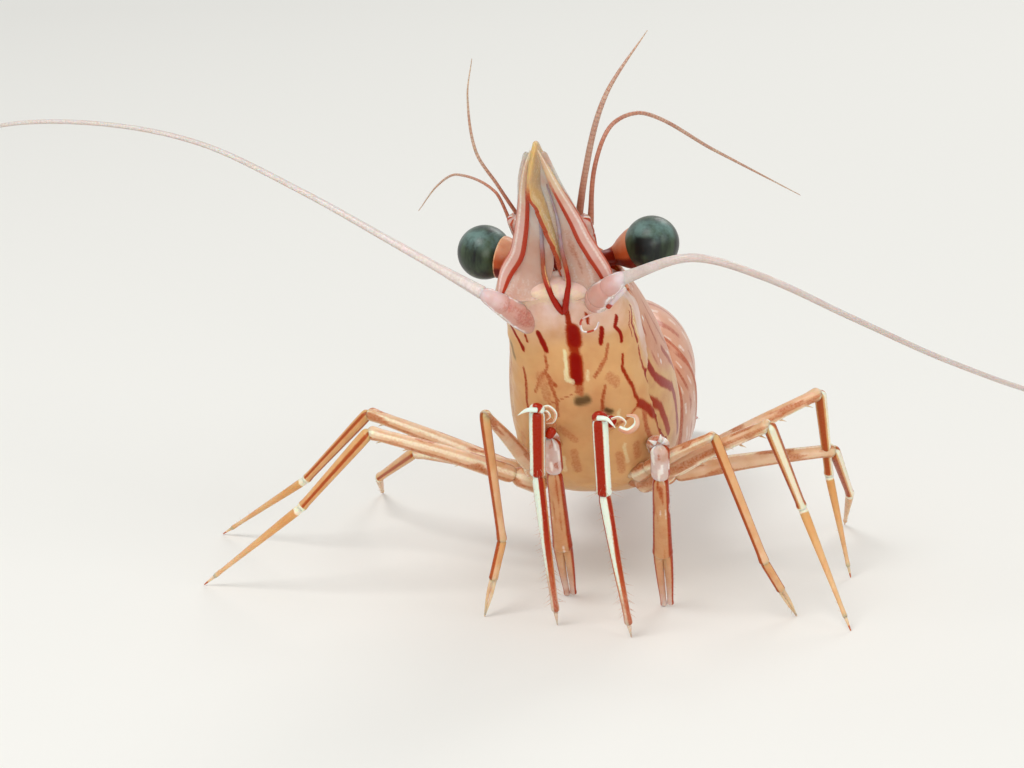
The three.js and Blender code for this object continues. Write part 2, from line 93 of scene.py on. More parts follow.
def new_material(name):
    """An empty material and its tree."""
    material = bpy.data.materials.new(name)
    material.use_nodes = True
    material.node_tree.nodes.clear()
    return material, material.node_tree


def looked_at(tree):
    """1 where the eye, a reflection or a clear shell looks, and 0 for light on its way."""
    ray = add(tree, "LightPath").outputs
    seen = ray["Is Camera Ray"]
    for kind in ("Is Glossy Ray", "Is Transmission Ray"):
        seen = add(tree, "Math", {0: seen, 1: ray[kind]}, operation="ADD", use_clamp=True).outputs[0]
    return seen


# A matt painted floor. It is seen paler than it lights the object, and far off it runs into
# the backdrop.
BACKDROP = "efeeea"
floor_paint, tree = new_material("matt_floor_paint")
diffuse = add(tree, "BsdfDiffuse", {"Color": linear("e4e2dc")})
glow = add(tree, "Emission", {"Color": linear("f2f1ec"), "Strength": 0.12})
both = add(tree, "AddShader", {0: diffuse.outputs[0], 1: glow.outputs[0]})
distance = add(tree, "VectorMath", {0: add(tree, "TexCoord").outputs["Object"]}, operation="LENGTH")
far = add(tree, "MapRange", {"Value": distance.outputs["Value"], "From Min": 0.22, "From Max": 0.42})
far_glow = add(tree, "Emission", {"Color": linear(BACKDROP), "Strength": 1.0})
seen = add(tree, "MixShader", {0: far.outputs[0], 1: both.outputs[0], 2: far_glow.outputs[0]})
mixed = add(tree, "MixShader", {0: looked_at(tree), 1: diffuse.outputs[0], 2: seen.outputs[0]})
add(tree, "OutputMaterial", {"Surface": mixed.outputs[0]})

FLOOR_HALF = 3
sheet = bmesh.new()
bmesh.ops.create_grid(sheet, x_segments=1, y_segments=1, size=FLOOR_HALF)
floor = bpy.data.objects.new("floor", bpy.data.meshes.new("floor"))
sheet.to_mesh(floor.data)
sheet.free()
floor.data.materials.append(floor_paint)
bpy.context.scene.collection.objects.link(floor)

# The room gives faint white light from all round. Looked at, it is one even pale backdrop.
world = bpy.data.worlds.new("studio")
world.use_nodes = True
bpy.context.scene.world = world
world.node_tree.nodes.clear()
tree = world.node_tree
room = add(tree, "Background", {"Color": linear("f2f5f7"), "Strength": 0.5})
backdrop = add(tree, "Background", {"Color": linear(BACKDROP), "Strength": 1.0})
mixed = add(tree, "MixShader", {0: looked_at(tree), 1: room.outputs[0], 2: backdrop.outputs[0]})
add(tree, "OutputWorld", {"Surface": mixed.outputs[0]})

# Place of each lamp round the animal, its size and its power, all in metres and watts.
LAMPS = {
    "key": ((-0.1, -0.2, 0.34), 0.2, 0.75),
    "front": ((0.14, -0.42, 0.08), 0.25, 0.55),
    "fill": ((0.34, -0.16, 0.2), 0.2, 0.25),
    "rim": ((0.08, 0.3, 0.26), 0.2, 0.35),
}
LAMP_AIM = Vector((0, 0, 0.015))  # the middle of the body, above HOME
for name, (place, width, power) in LAMPS.items():
    lamp = bpy.data.objects.new(name, bpy.data.lights.new(name, "AREA"))
    lamp.data.shape = "DISK"
    lamp.data.size = width
    lamp.data.energy = power
    lamp.location = HOME + Vector(place)
    lamp.rotation_euler = (Vector(place) - LAMP_AIM).to_track_quat("Z", "Y").to_euler()
    bpy.context.scene.collection.objects.link(lamp)

# ---- Trunk: the soft skin of head, mouth and thorax ---------------------------------------
# One skin without a seam, clear amber, over the muscles of the mouth and the leg roots. The
# carapace sits on it like a saddle, and dark red pigment lies in it in lines and dashes.
body_frame = (
    Matrix.Translation((0, 0, EYE_HEIGHT))
    @ Matrix.Rotation(math.radians(-2), 4, "Z")
    @ Matrix.Rotation(math.radians(-40), 4, "X")
    @ Matrix.Rotation(math.radians(-4), 4, "Y")
)
TRUNK_LEFT = 0.15


def on_body(left, back, up):
    """A place measured from the middle of the eyes along the raised body."""
    return body_frame @ Vector((left, back, up))


def facing(left, back, up):
    """A direction in the raised body's frame."""
    return (body_frame.to_3x3() @ Vector((left, back, up))).normalized()


def through(*pairs):
    """A smooth value through a few (place, value) pairs."""
    def value(place):
        k = 0
        while k < len(pairs) - 2 and pairs[k + 1][0] < place:
            k += 1
        (x0, y0), (x1, y1) = pairs[k], pairs[k + 1]
        before = pairs[max(k - 1, 0)]
        after = pairs[min(k + 2, len(pairs) - 1)]
        t = min(max((place - x0) / (x1 - x0), 0), 1)
        start = (y1 - before[1]) / (x1 - before[0]) * (x1 - x0)
        end = (after[1] - y0) / (after[0] - x0) * (x1 - x0)
        return (
            (2 * t**3 - 3 * t**2 + 1) * y0
            + (t**3 - 2 * t**2 + t) * start
            + (3 * t**2 - 2 * t**3) * y1
            + (t**3 - t**2) * end
        )
    return value


def mix(a, b, share):
    return a + (b - a) * share


def step(low, high, value):
    """0 below low, 1 above high, and smooth between them."""
    t = min(max((value - low) / (high - low), 0), 1)
    return t * t * (3 - 2 * t)


def band(middle, half, soft, value):
    """1 within half of the middle, falling to 0 over soft."""
    return 1 - step(half, half + soft, abs(value - middle))


def wobble(place, size, seed=0.0):
    """Smooth noise between about -1 and 1 that changes over size millimetres."""
    return noise.noise(place / size + Vector((seed, seed * 1.7, -seed)))


def stroke_ink(x, y, strokes):
    """How much pigment, or painted highlight, the strokes of a flat map leave at a point. Each
    stroke is its half width, its strength and its points."""
    ink = 0
    for half, strength, points in strokes:
        near = 3 * half
        for (ax, ay), (bx, by) in zip(points, points[1:]):
            level = min(ay, by) - near < y < max(ay, by) + near
            if level and min(ax, bx) - near < x < max(ax, bx) + near:
                dx, dy = bx - ax, by - ay
                t = min(max(((x - ax) * dx + (y - ay) * dy) / max(dx * dx + dy * dy, 1e-9), 0), 1)
                away = math.hypot(x - ax - t * dx, y - ay - t * dy)
                ink = max(ink, strength * (1 - step(0.5, 1.4, away / half)))
    return ink


def spread_grid(bm, columns, rows, place):
    """A grid of faces, each vertex put at place(s, t) with s and t from 0 to 1. The place comes
    with its paint: shares of red, of white and of the second colour, and millimetres along."""
    paint = bm.verts.layers.float_color.get("paint") or bm.verts.layers.float_color.new("paint")
    made = bmesh.ops.create_grid(bm, x_segments=columns, y_segments=rows, size=0.5)
    for vert in made["verts"]:
        vert.co, vert[paint] = place(vert.co.x + 0.5, vert.co.y + 0.5)
    return made["verts"]


def make_piece(bm, name, material, nodes=(), closed=True):
    """Turns the millimetres into metres round HOME, and hangs the piece on the model."""
    bmesh.ops.remove_doubles(bm, verts=bm.verts, dist=2e-4)
    if closed:
        bmesh.ops.recalc_face_normals(bm, faces=bm.faces)
    bmesh.ops.transform(bm, matrix=Matrix.Translation(HOME) @ Matrix.Scale(MM, 4), verts=bm.verts)
    for face in bm.faces:
        face.smooth = True
    piece = bpy.data.objects.new(name, bpy.data.meshes.new(name))
    bm.to_mesh(piece.data)
    bm.free()
    piece.data.materials.append(material)
    bpy.context.scene.collection.objects.link(piece)
    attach(piece, "root")
    if nodes:
        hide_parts(*nodes)
    return piece


CLOUD = 1.1  # millimetres across the clouds in the tissue


def chitin(name, base, second, deep, red, white, rough=0.3, grain=0.12, glow=0.4, coat=0.3,
           fray=0.45, ring=None, ring_ink=0.3, shade=None, clear=1.0, pits=0.3, thin=None):
    """Crustacean shell or skin: clear horn over soft tissue. Light sinks in and comes back
    warm, the wet surface is glossy, and pigment lies in it where the piece's paint says.

    base, second and deep are the tissue's colours: the first, the one that the paint calls
    for, and the one in its cloudy depths. red and white are the pigments, thin is red where
    little of it lies, shade is a third pigment, and fray is how ragged their edges are. ring
    is the length of a whip's rings in millimetres, and ring_ink is how dark they are. grain is
    the size of the pits in millimetres, and pits is their depth. glow is how much light sinks
    in, and a piece whose clear is below 1 lets what is behind it show."""
    material, tree = new_material(name)
    place = add(tree, "TexCoord").outputs["Object"]
    paint = add(tree, "Attribute", attribute_name="paint")
    shares = add(tree, "SeparateColor", {"Color": paint.outputs["Color"]}).outputs
    noises = []
    for size, detail in ((CLOUD, 4.0), (grain, 2.0)):
        made = add(tree, "TexNoise", {"Vector": place, "Scale": 1 / (size * MM), "Detail": detail})
        noises.append(made.outputs["Fac"])
    cloud, fine = noises
    colour = add(tree, "Mix", {0: shares["Blue"], 6: linear(base), 7: linear(second)}, data_type="RGBA")
    patch = add(tree, "MapRange", {"Value": cloud, "From Min": 0.4, "From Max": 0.72, "To Max": 0.6})
    depths = {0: patch.outputs[0], 6: colour.outputs[2], 7: linear(deep)}
    colour = add(tree, "Mix", depths, data_type="RGBA")
    if ring:
        turn = add(tree, "Math", {0: paint.outputs["Alpha"], 1: 2 * math.pi / ring}, operation="MULTIPLY")
        wave = add(tree, "Math", {0: turn.outputs[0]}, operation="SINE")
        spread = {"Value": wave.outputs[0], "From Min": 0.2, "From Max": 1.0, "To Max": ring_ink}
        dark = add(tree, "MapRange", spread)
        rings = {0: dark.outputs[0], 6: colour.outputs[2], 7: linear(red)}
        colour = add(tree, "Mix", rings, data_type="RGBA")
    if shade:
        third = {0: paint.outputs["Alpha"], 6: colour.outputs[2], 7: linear(shade)}
        colour = add(tree, "Mix", third, data_type="RGBA")
    # Pigment cells break up the edge of each line.
    ragged = {"From Min": 0.3, "From Max": 0.7, "To Min": -fray / 2, "To Max": fray / 2}
    loose = add(tree, "MapRange", {"Value": fine, **ragged})
    thick = add(tree, "Math", {0: shares["Red"], 1: 2.0}, operation="POWER")
    reds = add(tree, "Mix", {0: thick.outputs[0], 6: linear(thin or red), 7: linear(red)}, data_type="RGBA")
    whites = add(tree, "RGB")
    whites.outputs[0].default_value = linear(white)
    for share, pigment in (("Red", reds.outputs[2]), ("Green", whites.outputs[0])):
        edge = add(tree, "Math", {0: shares[share], 1: loose.outputs[0]}, operation="ADD")
        inked = add(tree, "MapRange", {"Value": edge.outputs[0], "From Min": 0.25, "From Max": 0.75})
        inside = add(tree, "Math", {0: shares[share], 1: 4.0}, operation="MULTIPLY", use_clamp=True)
        shown = add(tree, "Math", {0: inked.outputs[0], 1: inside.outputs[0]}, operation="MULTIPLY")
        colour = add(tree, "Mix", {0: shown.outputs[0], 6: colour.outputs[2], 7: pigment}, data_type="RGBA")
    gloss = add(tree, "MapRange", {"Value": fine, "To Min": rough - 0.08, "To Max": rough + 0.1})
    bump = add(tree, "Bump", {"Height": fine, "Strength": pits, "Distance": 0.02 * MM})
    skin = add(tree, "BsdfPrincipled", {
        "Base Color": colour.outputs[2],
        "Roughness": gloss.outputs[0],
        "IOR": 1.4,
        "Specular IOR Level": 0.15,
        "Alpha": clear,
        "Subsurface Weight": glow,
        "Subsurface Radius": (1.0, 0.45, 0.25),
        "Subsurface Scale": 0.7 * MM,
        "Coat Weight": coat,
        "Coat Roughness": 0.1,
        "Normal": bump.outputs[0],
    })
    add(tree, "OutputMaterial", {"Surface": skin.outputs[0]})
    return material


# Clear amber skin with flesh behind it: it glows warm, and the red lines look sunk in.
trunk_skin = chitin(
    "clear_amber_skin",
    base="dfaf78", second="e9cabe", deep="cf9462", red="920a00", white="f0e2b4",
    glow=0.35, pits=0.2, coat=0.0, fray=0.16, shade="5c4526", thin="b84a14",
)
# Half its width, and its top and bottom, at places back from the eyes.
trunk_half = through(
    (-1.6, 2.0), (-1.0, 2.7), (0, 3.1), (1, 3.35), (3, 3.5),
    (6, 3.9), (9, 4.2), (12, 4.15), (14.4, 3.3), (15.4, 2.8),
)
trunk_top = through(
    (-1.6, -2.5), (-1.0, -1.9), (0, -1.3), (1, -0.7), (2.4, 0.6), (7, 1.5), (11, 1.2), (15.4, -0.2),
)
trunk_low = through(
    (-1.6, -3.9), (-1.0, -4.2), (0, -4.7), (1, -5.1), (3, -6.5),
    (5, -7.7), (8, -9.0), (11, -9.1), (14.4, -7.3), (15.4, -5.6),
)
TRUNK_FRONT = -1.6
TRUNK_LONG = 17.0


def trunk_point(turn, back, half, top, low):
    """A place on the trunk: turn runs round it from its back line, and it is fullest low down."""
    share = abs(math.sin(turn)) ** (0.6 if math.cos(turn) < 0 else 1)
    fuller = 1 - 0.12 * math.cos(turn) * share
    across = math.copysign(half * share * fuller, math.sin(turn))
    deep = (top - low) / 2
    return Vector((TRUNK_LEFT + across, back, (top + low) / 2 + deep * math.cos(turn)))


# Millimetres round a full skin from its belly line, beside the degrees of turn they lie at.
ROUND_DEGREES = [180 * (k / 300) ** 2 for k in range(301)]
ROUND = [0]
for near, far in zip(ROUND_DEGREES, ROUND_DEGREES[1:]):
    a, b = (trunk_point(math.radians(180 - degrees), 6, 3.9, 4.8, -4.8) for degrees in (near, far))
    ROUND.append(ROUND[-1] + (b - a).length)


def look_up(value, places, values):
    """The value beside a place in two lists, straight between their entries."""
    k = min(max(bisect.bisect(places, value), 1), len(places) - 1)
    share = (value - places[k - 1]) / (places[k] - places[k - 1])
    return mix(values[k - 1], values[k], min(max(share, 0), 1))


# The pigment is drawn on the skin laid flat, and so are a few painted highlights among the white
# strokes: each stroke is its half width, its strength, and its points as millimetres round from
# the belly line, left being more, and back from the eyes.
RED_STROKES = [
    # The dark line and block down the middle of the mouth.
    (0.24, 0.85, [(0.45, -1.5), (0.4, -0.4), (0.5, 0)]),
    (0.52, 1.0, [(0.58, 0.15), (0.52, 0.85)]),
    (0.36, 0.8, [(0.46, 0.9), (0.46, 1.9)]),
    (0.45, 1.0, [(0.46, 1.8), (0.42, 2.7)]),
    (0.3, 0.6, [(0.45, 2.9), (0.5, 3.4)]),
    # Short dashes below the feelers.
    (0.16, 0.9, [(-5.6, 0.3), (-5.1, 0.9)]),
    (0.17, 0.95, [(-4.5, 0.4), (-3.6, 0.9), (-2.9, 1.6)]),
    (0.19, 1.0, [(-1.75, 0.4), (-1.5, 0.9), (-1.3, 1.35)]),
    (0.1, 0.8, [(-2.7, 0.7), (-2.5, 1.1)]),
    (0.14, 0.8, [(1.8, -0.8), (1.7, -0.3)]),
    (0.18, 1.0, [(2.5, 0.2), (2.3, 0.6), (2.1, 1.1)]),
    (0.17, 1.0, [(4.2, -0.1), (3.5, 0.4), (3.7, 0.9), (3.6, 1.4)]),
    (0.15, 0.9, [(7.0, 0.6), (5.4, 1.2), (5.4, 2.6)]),
    (0.09, 0.8, [(6.1, 0.5), (4.9, 1.0), (4.9, 1.9)]),
    # Longer wavy lines on the mouth limbs and cheeks.
    (0.13, 0.62, [(-1.4, 1.7), (-1.3, 2.1), (-1.5, 2.5), (-0.9, 3.1)]),
    (0.13, 0.55, [(-1.5, 2.5), (-1.9, 2.9), (-2.2, 3.6)]),
    (0.14, 0.7, [(-3.0, 2.7), (-2.8, 3.7), (-2.9, 4.4), (-2.6, 5.2)]),
    (0.14, 0.6, [(-1.3, 2.8), (-0.9, 3.9), (-1.0, 4.8)]),
    (0.13, 0.55, [(-5.2, 2.2), (-4.9, 3.5), (-5.2, 5.2), (-4.6, 7.0)]),
    (0.06, 0.6, [(-2.7, 4.8), (-1.3, 4.1), (-0.4, 3.7), (0.4, 3.4)]),
    (0.15, 0.6, [(2.6, 1.3), (2.3, 1.9), (1.5, 2.7)]),
    (0.15, 0.8, [(3.5, 2.2), (3.3, 2.8), (3.7, 4.0), (3.9, 5.3)]),
    (0.27, 0.85, [(3.9, 5.3), (4.5, 6.4), (4.9, 7.4), (4.8, 9.8)]),
    (0.12, 0.6, [(3.9, 5.3), (3.1, 5.5), (2.0, 5.5)]),
    (0.13, 0.65, [(2.0, 3.3), (1.7, 4.0), (1.6, 4.6)]),
    (0.13, 0.75, [(5.4, 3.0), (5.2, 3.6), (5.3, 4.6)]),
    (0.26, 1.0, [(5.3, 4.7), (5.5, 5.8), (6.1, 7.2), (6.7, 8.7)]),
    (0.3, 1.0, [(6.7, 8.7), (6.6, 9.6), (6.1, 10.6), (5.6, 12)]),
    (0.2, 0.8, [(7.6, 6.4), (7.9, 8.0), (8.3, 9.8)]),
    (0.2, 0.6, [(4.1, 5.6), (3.9, 7.0), (4.0, 8.6)]),
    # Soft blots, deeper in the tissue.
    (0.4, 0.42, [(2.4, 2.9), (2.7, 3.3)]),
    (0.4, 0.4, [(-1.8, 2.8), (-1.5, 3.7)]),
    (0.3, 0.5, [(-1.4, 5.6), (-1.1, 6.5)]),
    (0.3, 0.42, [(-1.9, 7.0), (-2.1, 8.8)]),
    (0.3, 0.42, [(-0.3, 7.0), (-0.3, 8.4)]),
    (0.28, 0.4, [(-0.9, 5.5), (-0.2, 6.2)]),
    (0.28, 0.42, [(2.0, 7.4), (1.9, 8.8)]),
    (0.28, 0.42, [(3.0, 7.3), (2.9, 8.2)]),
    (0.28, 0.42, [(0.9, 7.3), (0.9, 8.6)]),
    (0.26, 0.4, [(-3.4, 7.0), (-3.6, 8.8)]),
]
WHITE_AND_HIGHLIGHT_STROKES = [
    # Two wide soft strokes are a painted highlight, a cream glow over the top front of the head.
    (0.8, 0.4, [(-3.6, -1.4), (-2.1, -2.0), (-0.6, -2.0)]),
    (0.7, 0.38, [(1.2, -2.0), (2.1, -2.0), (3.4, -1.3)]),
    (0.15, 0.75, [(-0.15, 1.4), (-0.2, 2.6)]),
    (0.15, 0.65, [(-0.25, 2.75), (0.1, 2.9)]),
    (0.15, 0.55, [(1.1, 2.4), (1.05, 2.8)]),
    (0.14, 0.55, [(2.5, 4.8), (2.4, 5.2)]),
    (0.14, 0.5, [(2.4, 6.9), (2.3, 8.2)]),
    (0.14, 0.5, [(-0.9, 7.3), (-1.0, 8.6)]),
    # A thin painted highlight beside the dark dash at the carapace's front edge.
    (0.06, 0.9, [(7.4, 0.7), (5.9, 1.3), (5.8, 2.6)]),
]
SHADE_STROKES = [
    (0.26, 0.9, [(0.35, 3.95), (0.85, 3.8)]),
    (0.2, 0.6, [(-4.4, 2.0), (-4.0, 2.5)]),
    (0.15, 0.9, [(1.85, 4.5), (2.1, 4.7)]),
]
# Where the amber of the belly gives way to the pink of the flank, round and back likewise.
amber_edge = through(
    (0.5, 7.2), (2, 5.9), (3.4, 5.6), (5, 5.6), (6, 5.9), (7.6, 6.9), (9, 8.2), (12, 9.4), (15, 10),
)


def skin_paint(turn, spot):
    """Red pigment, white pigment with a few painted highlights, dark pigment, and the share of
    pink flank, at a turn round the trunk.
    """
    below = look_up(180 - abs(math.degrees(turn)), ROUND_DEGREES, ROUND)
    x = math.copysign(below, turn) + 0.06 * wobble(spot, 0.45)
    y = spot.y + 0.06 * wobble(spot, 0.45, 3)
    red = stroke_ink(x, y, RED_STROKES)
    white = stroke_ink(x, y, WHITE_AND_HIGHLIGHT_STROKES)
    flank = step(amber_edge(spot.y) - 0.15, amber_edge(spot.y) + 0.75, abs(x))
    return red, white, stroke_ink(x, y, SHADE_STROKES), flank


def trunk_place(s, t):
    around = (2 * s - 1) * ROUND[-1]
    turn = math.copysign(math.pi - math.radians(look_up(abs(around), ROUND, ROUND_DEGREES)), around)
    share = (t - 0.05) / 0.9
    back = TRUNK_FRONT + TRUNK_LONG * min(max(share, 0), 1)
    reach = min(max(t / 0.05, 0), 1) if t < 0.5 else min(max((1 - t) / 0.05, 0), 1)
    spot = trunk_point(turn, back, trunk_half(back), trunk_top(back), trunk_low(back))
    middle = Vector((TRUNK_LEFT, back, (trunk_top(back) + trunk_low(back)) / 2))
    # The two ends are domes.
    out = math.sin(reach * math.pi / 2)
    dome = (1 - math.cos(math.asin(min(out, 1)))) * 0.6
    spot = middle.lerp(spot, out) + Vector((0, (dome - 0.6 if t < 0.5 else 0.6 - dome), 0))
    red, white, shade, flank = skin_paint(turn, spot)
    out = (spot - middle).normalized()
    spot += out * (0.05 * wobble(spot, 0.9, 7) + 0.02 * wobble(spot, 0.35, 9))
    pale = 1 - step(-1.2, 1.6, back + 0.4 * wobble(spot, 1.2, 2))
    return body_frame @ spot, (red, white, max(pale, flank), shade)


bm = bmesh.new()
spread_grid(bm, 260, 170, trunk_place)
make_piece(bm, "trunk", trunk_skin, ("head", "mouthparts", "thorax"))

# ---- Carapace -----------------------------------------------------------------------------
# One thin shell: a saddle over head and thorax, open below, notched for the eyestalks, with a
# sharp spine beside each eye. Pink horn with red lines and rows of white dots between them.
# Pink horn that lets amber through low down, dull enough to keep its red lines dark.
carapace_shell = chitin(
    "pink_carapace_shell",
    base="dcac74", second="d6987a", deep="c47c58", red="961c06", white="f6eeea",
    glow=0.4, fray=0.2, shade="5c4526", thin="b44c16", coat=0.0,
)
shell_half = through((0, 2.85), (3, 3.45), (6, 4.05), (9, 4.4), (12, 4.35), (16, 3.7))
shell_top = through((0, 0.6), (3, 1.5), (7, 2.1), (11, 1.8), (16, 0.4))
shell_low = through((0, -4.8), (3, -6.2), (7, -8.2), (11, -8.5), (16, -6.0))
SHELL_THICK = 0.16
SHELL_BACK = 15.0
SHELL_ROUND = 142
# How far back its front edge lies, by degrees down from the back line.
carapace_front = through(
    (0, 0.7), (20, 1.2), (45, 2.0), (60, 1.4), (70, 0.6),
    (80, 1.2), (90, 1.6), (105, 2.8), (120, 4.4), (142, 8.0),
)


def carapace_place(s, t):
    side = 2 * s - 1
    degrees = abs(side) * SHELL_ROUND
    turn = math.copysign(math.radians(degrees), side)
    front = carapace_front(degrees)
    back = SHELL_BACK - 1.6 * step(80, SHELL_ROUND, degrees)
    place = mix(front, back, t)
    spot = trunk_point(turn, place, shell_half(place), shell_top(place), shell_low(place))
    lines = degrees * 0.075 + 0.35 * math.sin(place * 0.8) + 0.12 * wobble(spot, 1.5)
    phase = lines - math.floor(lines)
    breaks = wobble(Vector((math.floor(lines) * 3.1, place * 0.9, side)), 1.0)
    red = band(0.5, 0.08, 0.09, phase) * step(-0.35, -0.1, breaks)
    dots = abs(math.sin(place * math.pi / 0.6))
    white = band(0, 0.05, 0.09, min(phase, 1 - phase))
    white = white * step(0.5, 0.8, dots) * step(0.1, 0.3, wobble(spot, 1.0, 8))
    # The strokes drawn on the skin come through here too, the painted highlight at the front edge among them.
    drawn_red, drawn_white, shade, flank = skin_paint(turn, spot)
    red = max(0.6 * red * step(0.3, 0.9, flank), drawn_red)
    white = max(0.75 * white * flank, drawn_white)
    return body_frame @ spot, (red, white, flank, shade)


bm = bmesh.new()
spread_grid(bm, 260, 150, carapace_place)
carapace = make_piece(bm, "carapace", carapace_shell, ("carapace",), closed=False)
wall = carapace.modifiers.new("wall", "SOLIDIFY")
wall.thickness = SHELL_THICK * MM
wall.offset = -1

# ---- Rostrum ------------------------------------------------------------------------------
# The beak is one upright blade of horn, hinged to the front of the carapace, with forward
# teeth on both its edges. It is clear grey-lilac, golden at its tip and along its lower edge.
# Lilac-grey horn, partly seen through, which turns golden at the point.
beak_horn = chitin(
    "clear_golden_horn",
    base="c6b4ae", second="dcb470", deep="bca284", red="b0441c", white="f4e8c8",
    glow=0.5, rough=0.25, fray=0.2, clear=0.85,
)
BEAK_ROOT = on_body(0, 2.4, 1.3)
BEAK_TIP = on_body(0.1, -10.6, 0.3)
BEAK_TEETH = 9
beak_low = through(
    (0, -0.9), (0.08, -2.3), (0.18, -3.1), (0.34, -3.7), (0.5, -3.42),
    (0.65, -3.08), (0.8, -2.5), (0.88, -2.2), (0.96, -1.2), (1, -0.2),
)
# How far its lower edge is bent to the left of its upper one.
beak_bend = through(
    (0, 0.15), (0.34, 0.2), (0.5, 0.22), (0.65, 0.03),
    (0.8, -0.23), (0.88, -0.44), (0.96, -0.25), (1, 0),
)
beak_high = through((0, 0.65), (0.3, 0.5), (0.7, 0.38), (0.95, 0.32), (1, 0.15))
beak_wide = through((0, 0.36), (0.3, 0.34), (0.8, 0.28), (1, 0.14))


NEARBY = 0.05  # millimetres each way along a line, to find its direction


def rod_line(points):
    """A smooth line through a few points: its place at a run in millimetres, and its length."""
    points = [Vector(point) for point in points]
    runs = [0]
    for a, b in zip(points, points[1:]):
        runs.append(runs[-1] + (b - a).length)
    axes = [through(*[(run, point[k]) for run, point in zip(runs, points)]) for k in range(3)]
    return (lambda run: Vector([axis(run) for axis in axes])), runs[-1]


def heading(line, length, run):
    """The direction of a line at a run along it."""
    return (line(min(run + NEARBY, length)) - line(max(run - NEARBY, 0))).normalized()


def square_to(towards, across):
    """The way nearest to across that is square to a direction."""
    return (across - across.dot(towards) * towards).normalized()


def roll(bm, points, section, columns, rows, across, paint=None, blunt=0.3, ease=0.6):
    """A closed rod round a smooth line. section(share, turn) gives a place on its outline,
    across points the way of its width, and both its ends are rounded off over blunt."""
    line, length = rod_line(points)
    rings = []
    for k in range(rows + 1):
        t = k / rows
        share = mix(t, 0.5 - 0.5 * math.cos(math.pi * t), ease)
        run = length * share
        towards = heading(line, length, run)
        side = square_to(towards, across)
        end = min(1, min(run, length - run) / blunt)
        out = math.sqrt(max(0, 1 - (1 - end) ** 2))
        rings.append((share, run, line(run), side, towards.cross(side), out))

    def place(s, t):
        turn = (2 * s - 1) * math.pi
        share, run, middle, side, rise, out = rings[round(t * rows)]
        wide, high = section(share, turn)
        spot = middle + side * wide * out + rise * high * out
        red, white, second = paint(share, math.degrees(turn), run) if paint else (0, 0, 0)
        return spot, (red, white, second, run)
    spread_grid(bm, columns, rows, place)


def oval(wide, high):
    """An oval outline whose half width and half height depend on the share along a rod."""
    return lambda share, turn: (wide(share) * math.sin(turn), high(share) * math.cos(turn))


def beak_section(share, turn):
    tooth = share * BEAK_TEETH % 1
    low = beak_low(share) + 0.1 * (1 - tooth) ** 2 * step(1, 0.9, share)
    top_tooth = share * 6 % 1
    high = beak_high(share) + 0.25 * step(0.55, 0.7, share) * top_tooth**3 * (1 - step(0.93, 1, share))
    height = high * max(math.cos(turn), 0) + low * max(-math.cos(turn), 0)
    lean = beak_bend(share) * min(height, 0) / low
    blunt = 1.0 if math.cos(turn) > 0 else 0.55
    return math.copysign(beak_wide(share) * abs(math.sin(turn)) ** blunt, turn) + lean, height


def beak_paint(share, turn, run):
    # Red along the right of its keel, a golden ridge along the left, and a golden point.
    below = math.copysign(180 - abs(turn), turn)
    fade = 1 - step(0.84, 0.96, share)
    red = band(-8, 14, 8, below) * fade
    brown = 0.4 * band(66, 8, 8, below) * (1 - step(0.45, 0.6, share))
    ridge = band(28, 16, 9, below)
    gold = max(step(0.76, 0.92, share), ridge * step(0.3, 0.55, share))
    return max(red, brown), 0.4 * band(26, 5, 8, below) * fade, gold


bm = bmesh.new()
roll(bm, [BEAK_ROOT, BEAK_ROOT.lerp(BEAK_TIP, 0.5), BEAK_TIP], beak_section, 64, 220,
     facing(1, 0, 0), beak_paint, blunt=0.25, ease=0)
make_piece(bm, "rostrum", beak_horn, ("rostrum",))

# ---- Eyes ---------------------------------------------------------------------------------
# Each eye is a ball of many tiny square lenses over dark green pigment, glossy as wet glass.
# It sits in the cup of a movable stalk of orange-red shell, slim where it leaves the head.
# Each eye's middle and the way it looks, where along that way the stalk's rim lies (below 0 is
# behind the middle), and the half width of the cup.
EYES = {
    "right": {"side": -1, "middle": (-4.48, 0, -0.2), "looks": (-1, 0.2, 0.42), "rim": -1.04, "cup": 1.16},
    "left": {"side": 1, "middle": (4.45, 0, 0.25), "looks": (0.85, -0.55, 0), "rim": -0.74, "cup": 1.2},
}
CORNEA = 1.45
FACET = 0.085  # twice a real lens, so that the facets show

# Near-black green with soft upright streaks, netted with tiny lenses, and a painted grey-blue sheen
# on top, a reflection of the light from above.
cornea_glass, tree = new_material("cornea_of_tiny_lenses")
place = add(tree, "TexCoord").outputs["Object"]
stretched = add(tree, "Mapping", {"Vector": place, "Scale": (1 / (0.5 * MM), 1 / (0.5 * MM), 1 / (2.4 * MM))})
streaks = add(tree, "TexNoise", {"Vector": stretched.outputs[0], "Scale": 1.0, "Detail": 4.0})
clouds = add(tree, "TexNoise", {"Vector": place, "Scale": 1 / (0.7 * MM), "Detail": 5.0, "Roughness": 0.6})
lenses = add(tree, "TexVoronoi", {"Vector": place, "Scale": 1 / (FACET * MM)}, feature="DISTANCE_TO_EDGE")
paint = add(tree, "Attribute", attribute_name="paint")
shares = add(tree, "SeparateColor", {"Color": paint.outputs["Color"]}).outputs
streaky = add(tree, "MapRange", {"Value": streaks.outputs["Fac"], "From Min": 0.38, "From Max": 0.66})
green = add(tree, "Mix", {0: streaky.outputs[0], 6: linear("060c08"), 7: linear("39492f")}, data_type="RGBA")
hazy = {"Value": clouds.outputs["Fac"], "From Min": 0.35, "From Max": 0.65, "To Min": 0.1}
cloudy = add(tree, "MapRange", hazy)
sky = add(tree, "Math", {0: cloudy.outputs[0], 1: shares["Green"]}, operation="MULTIPLY")
blue = add(tree, "Mix", {0: sky.outputs[0], 6: green.outputs[2], 7: linear("64807a")}, data_type="RGBA")
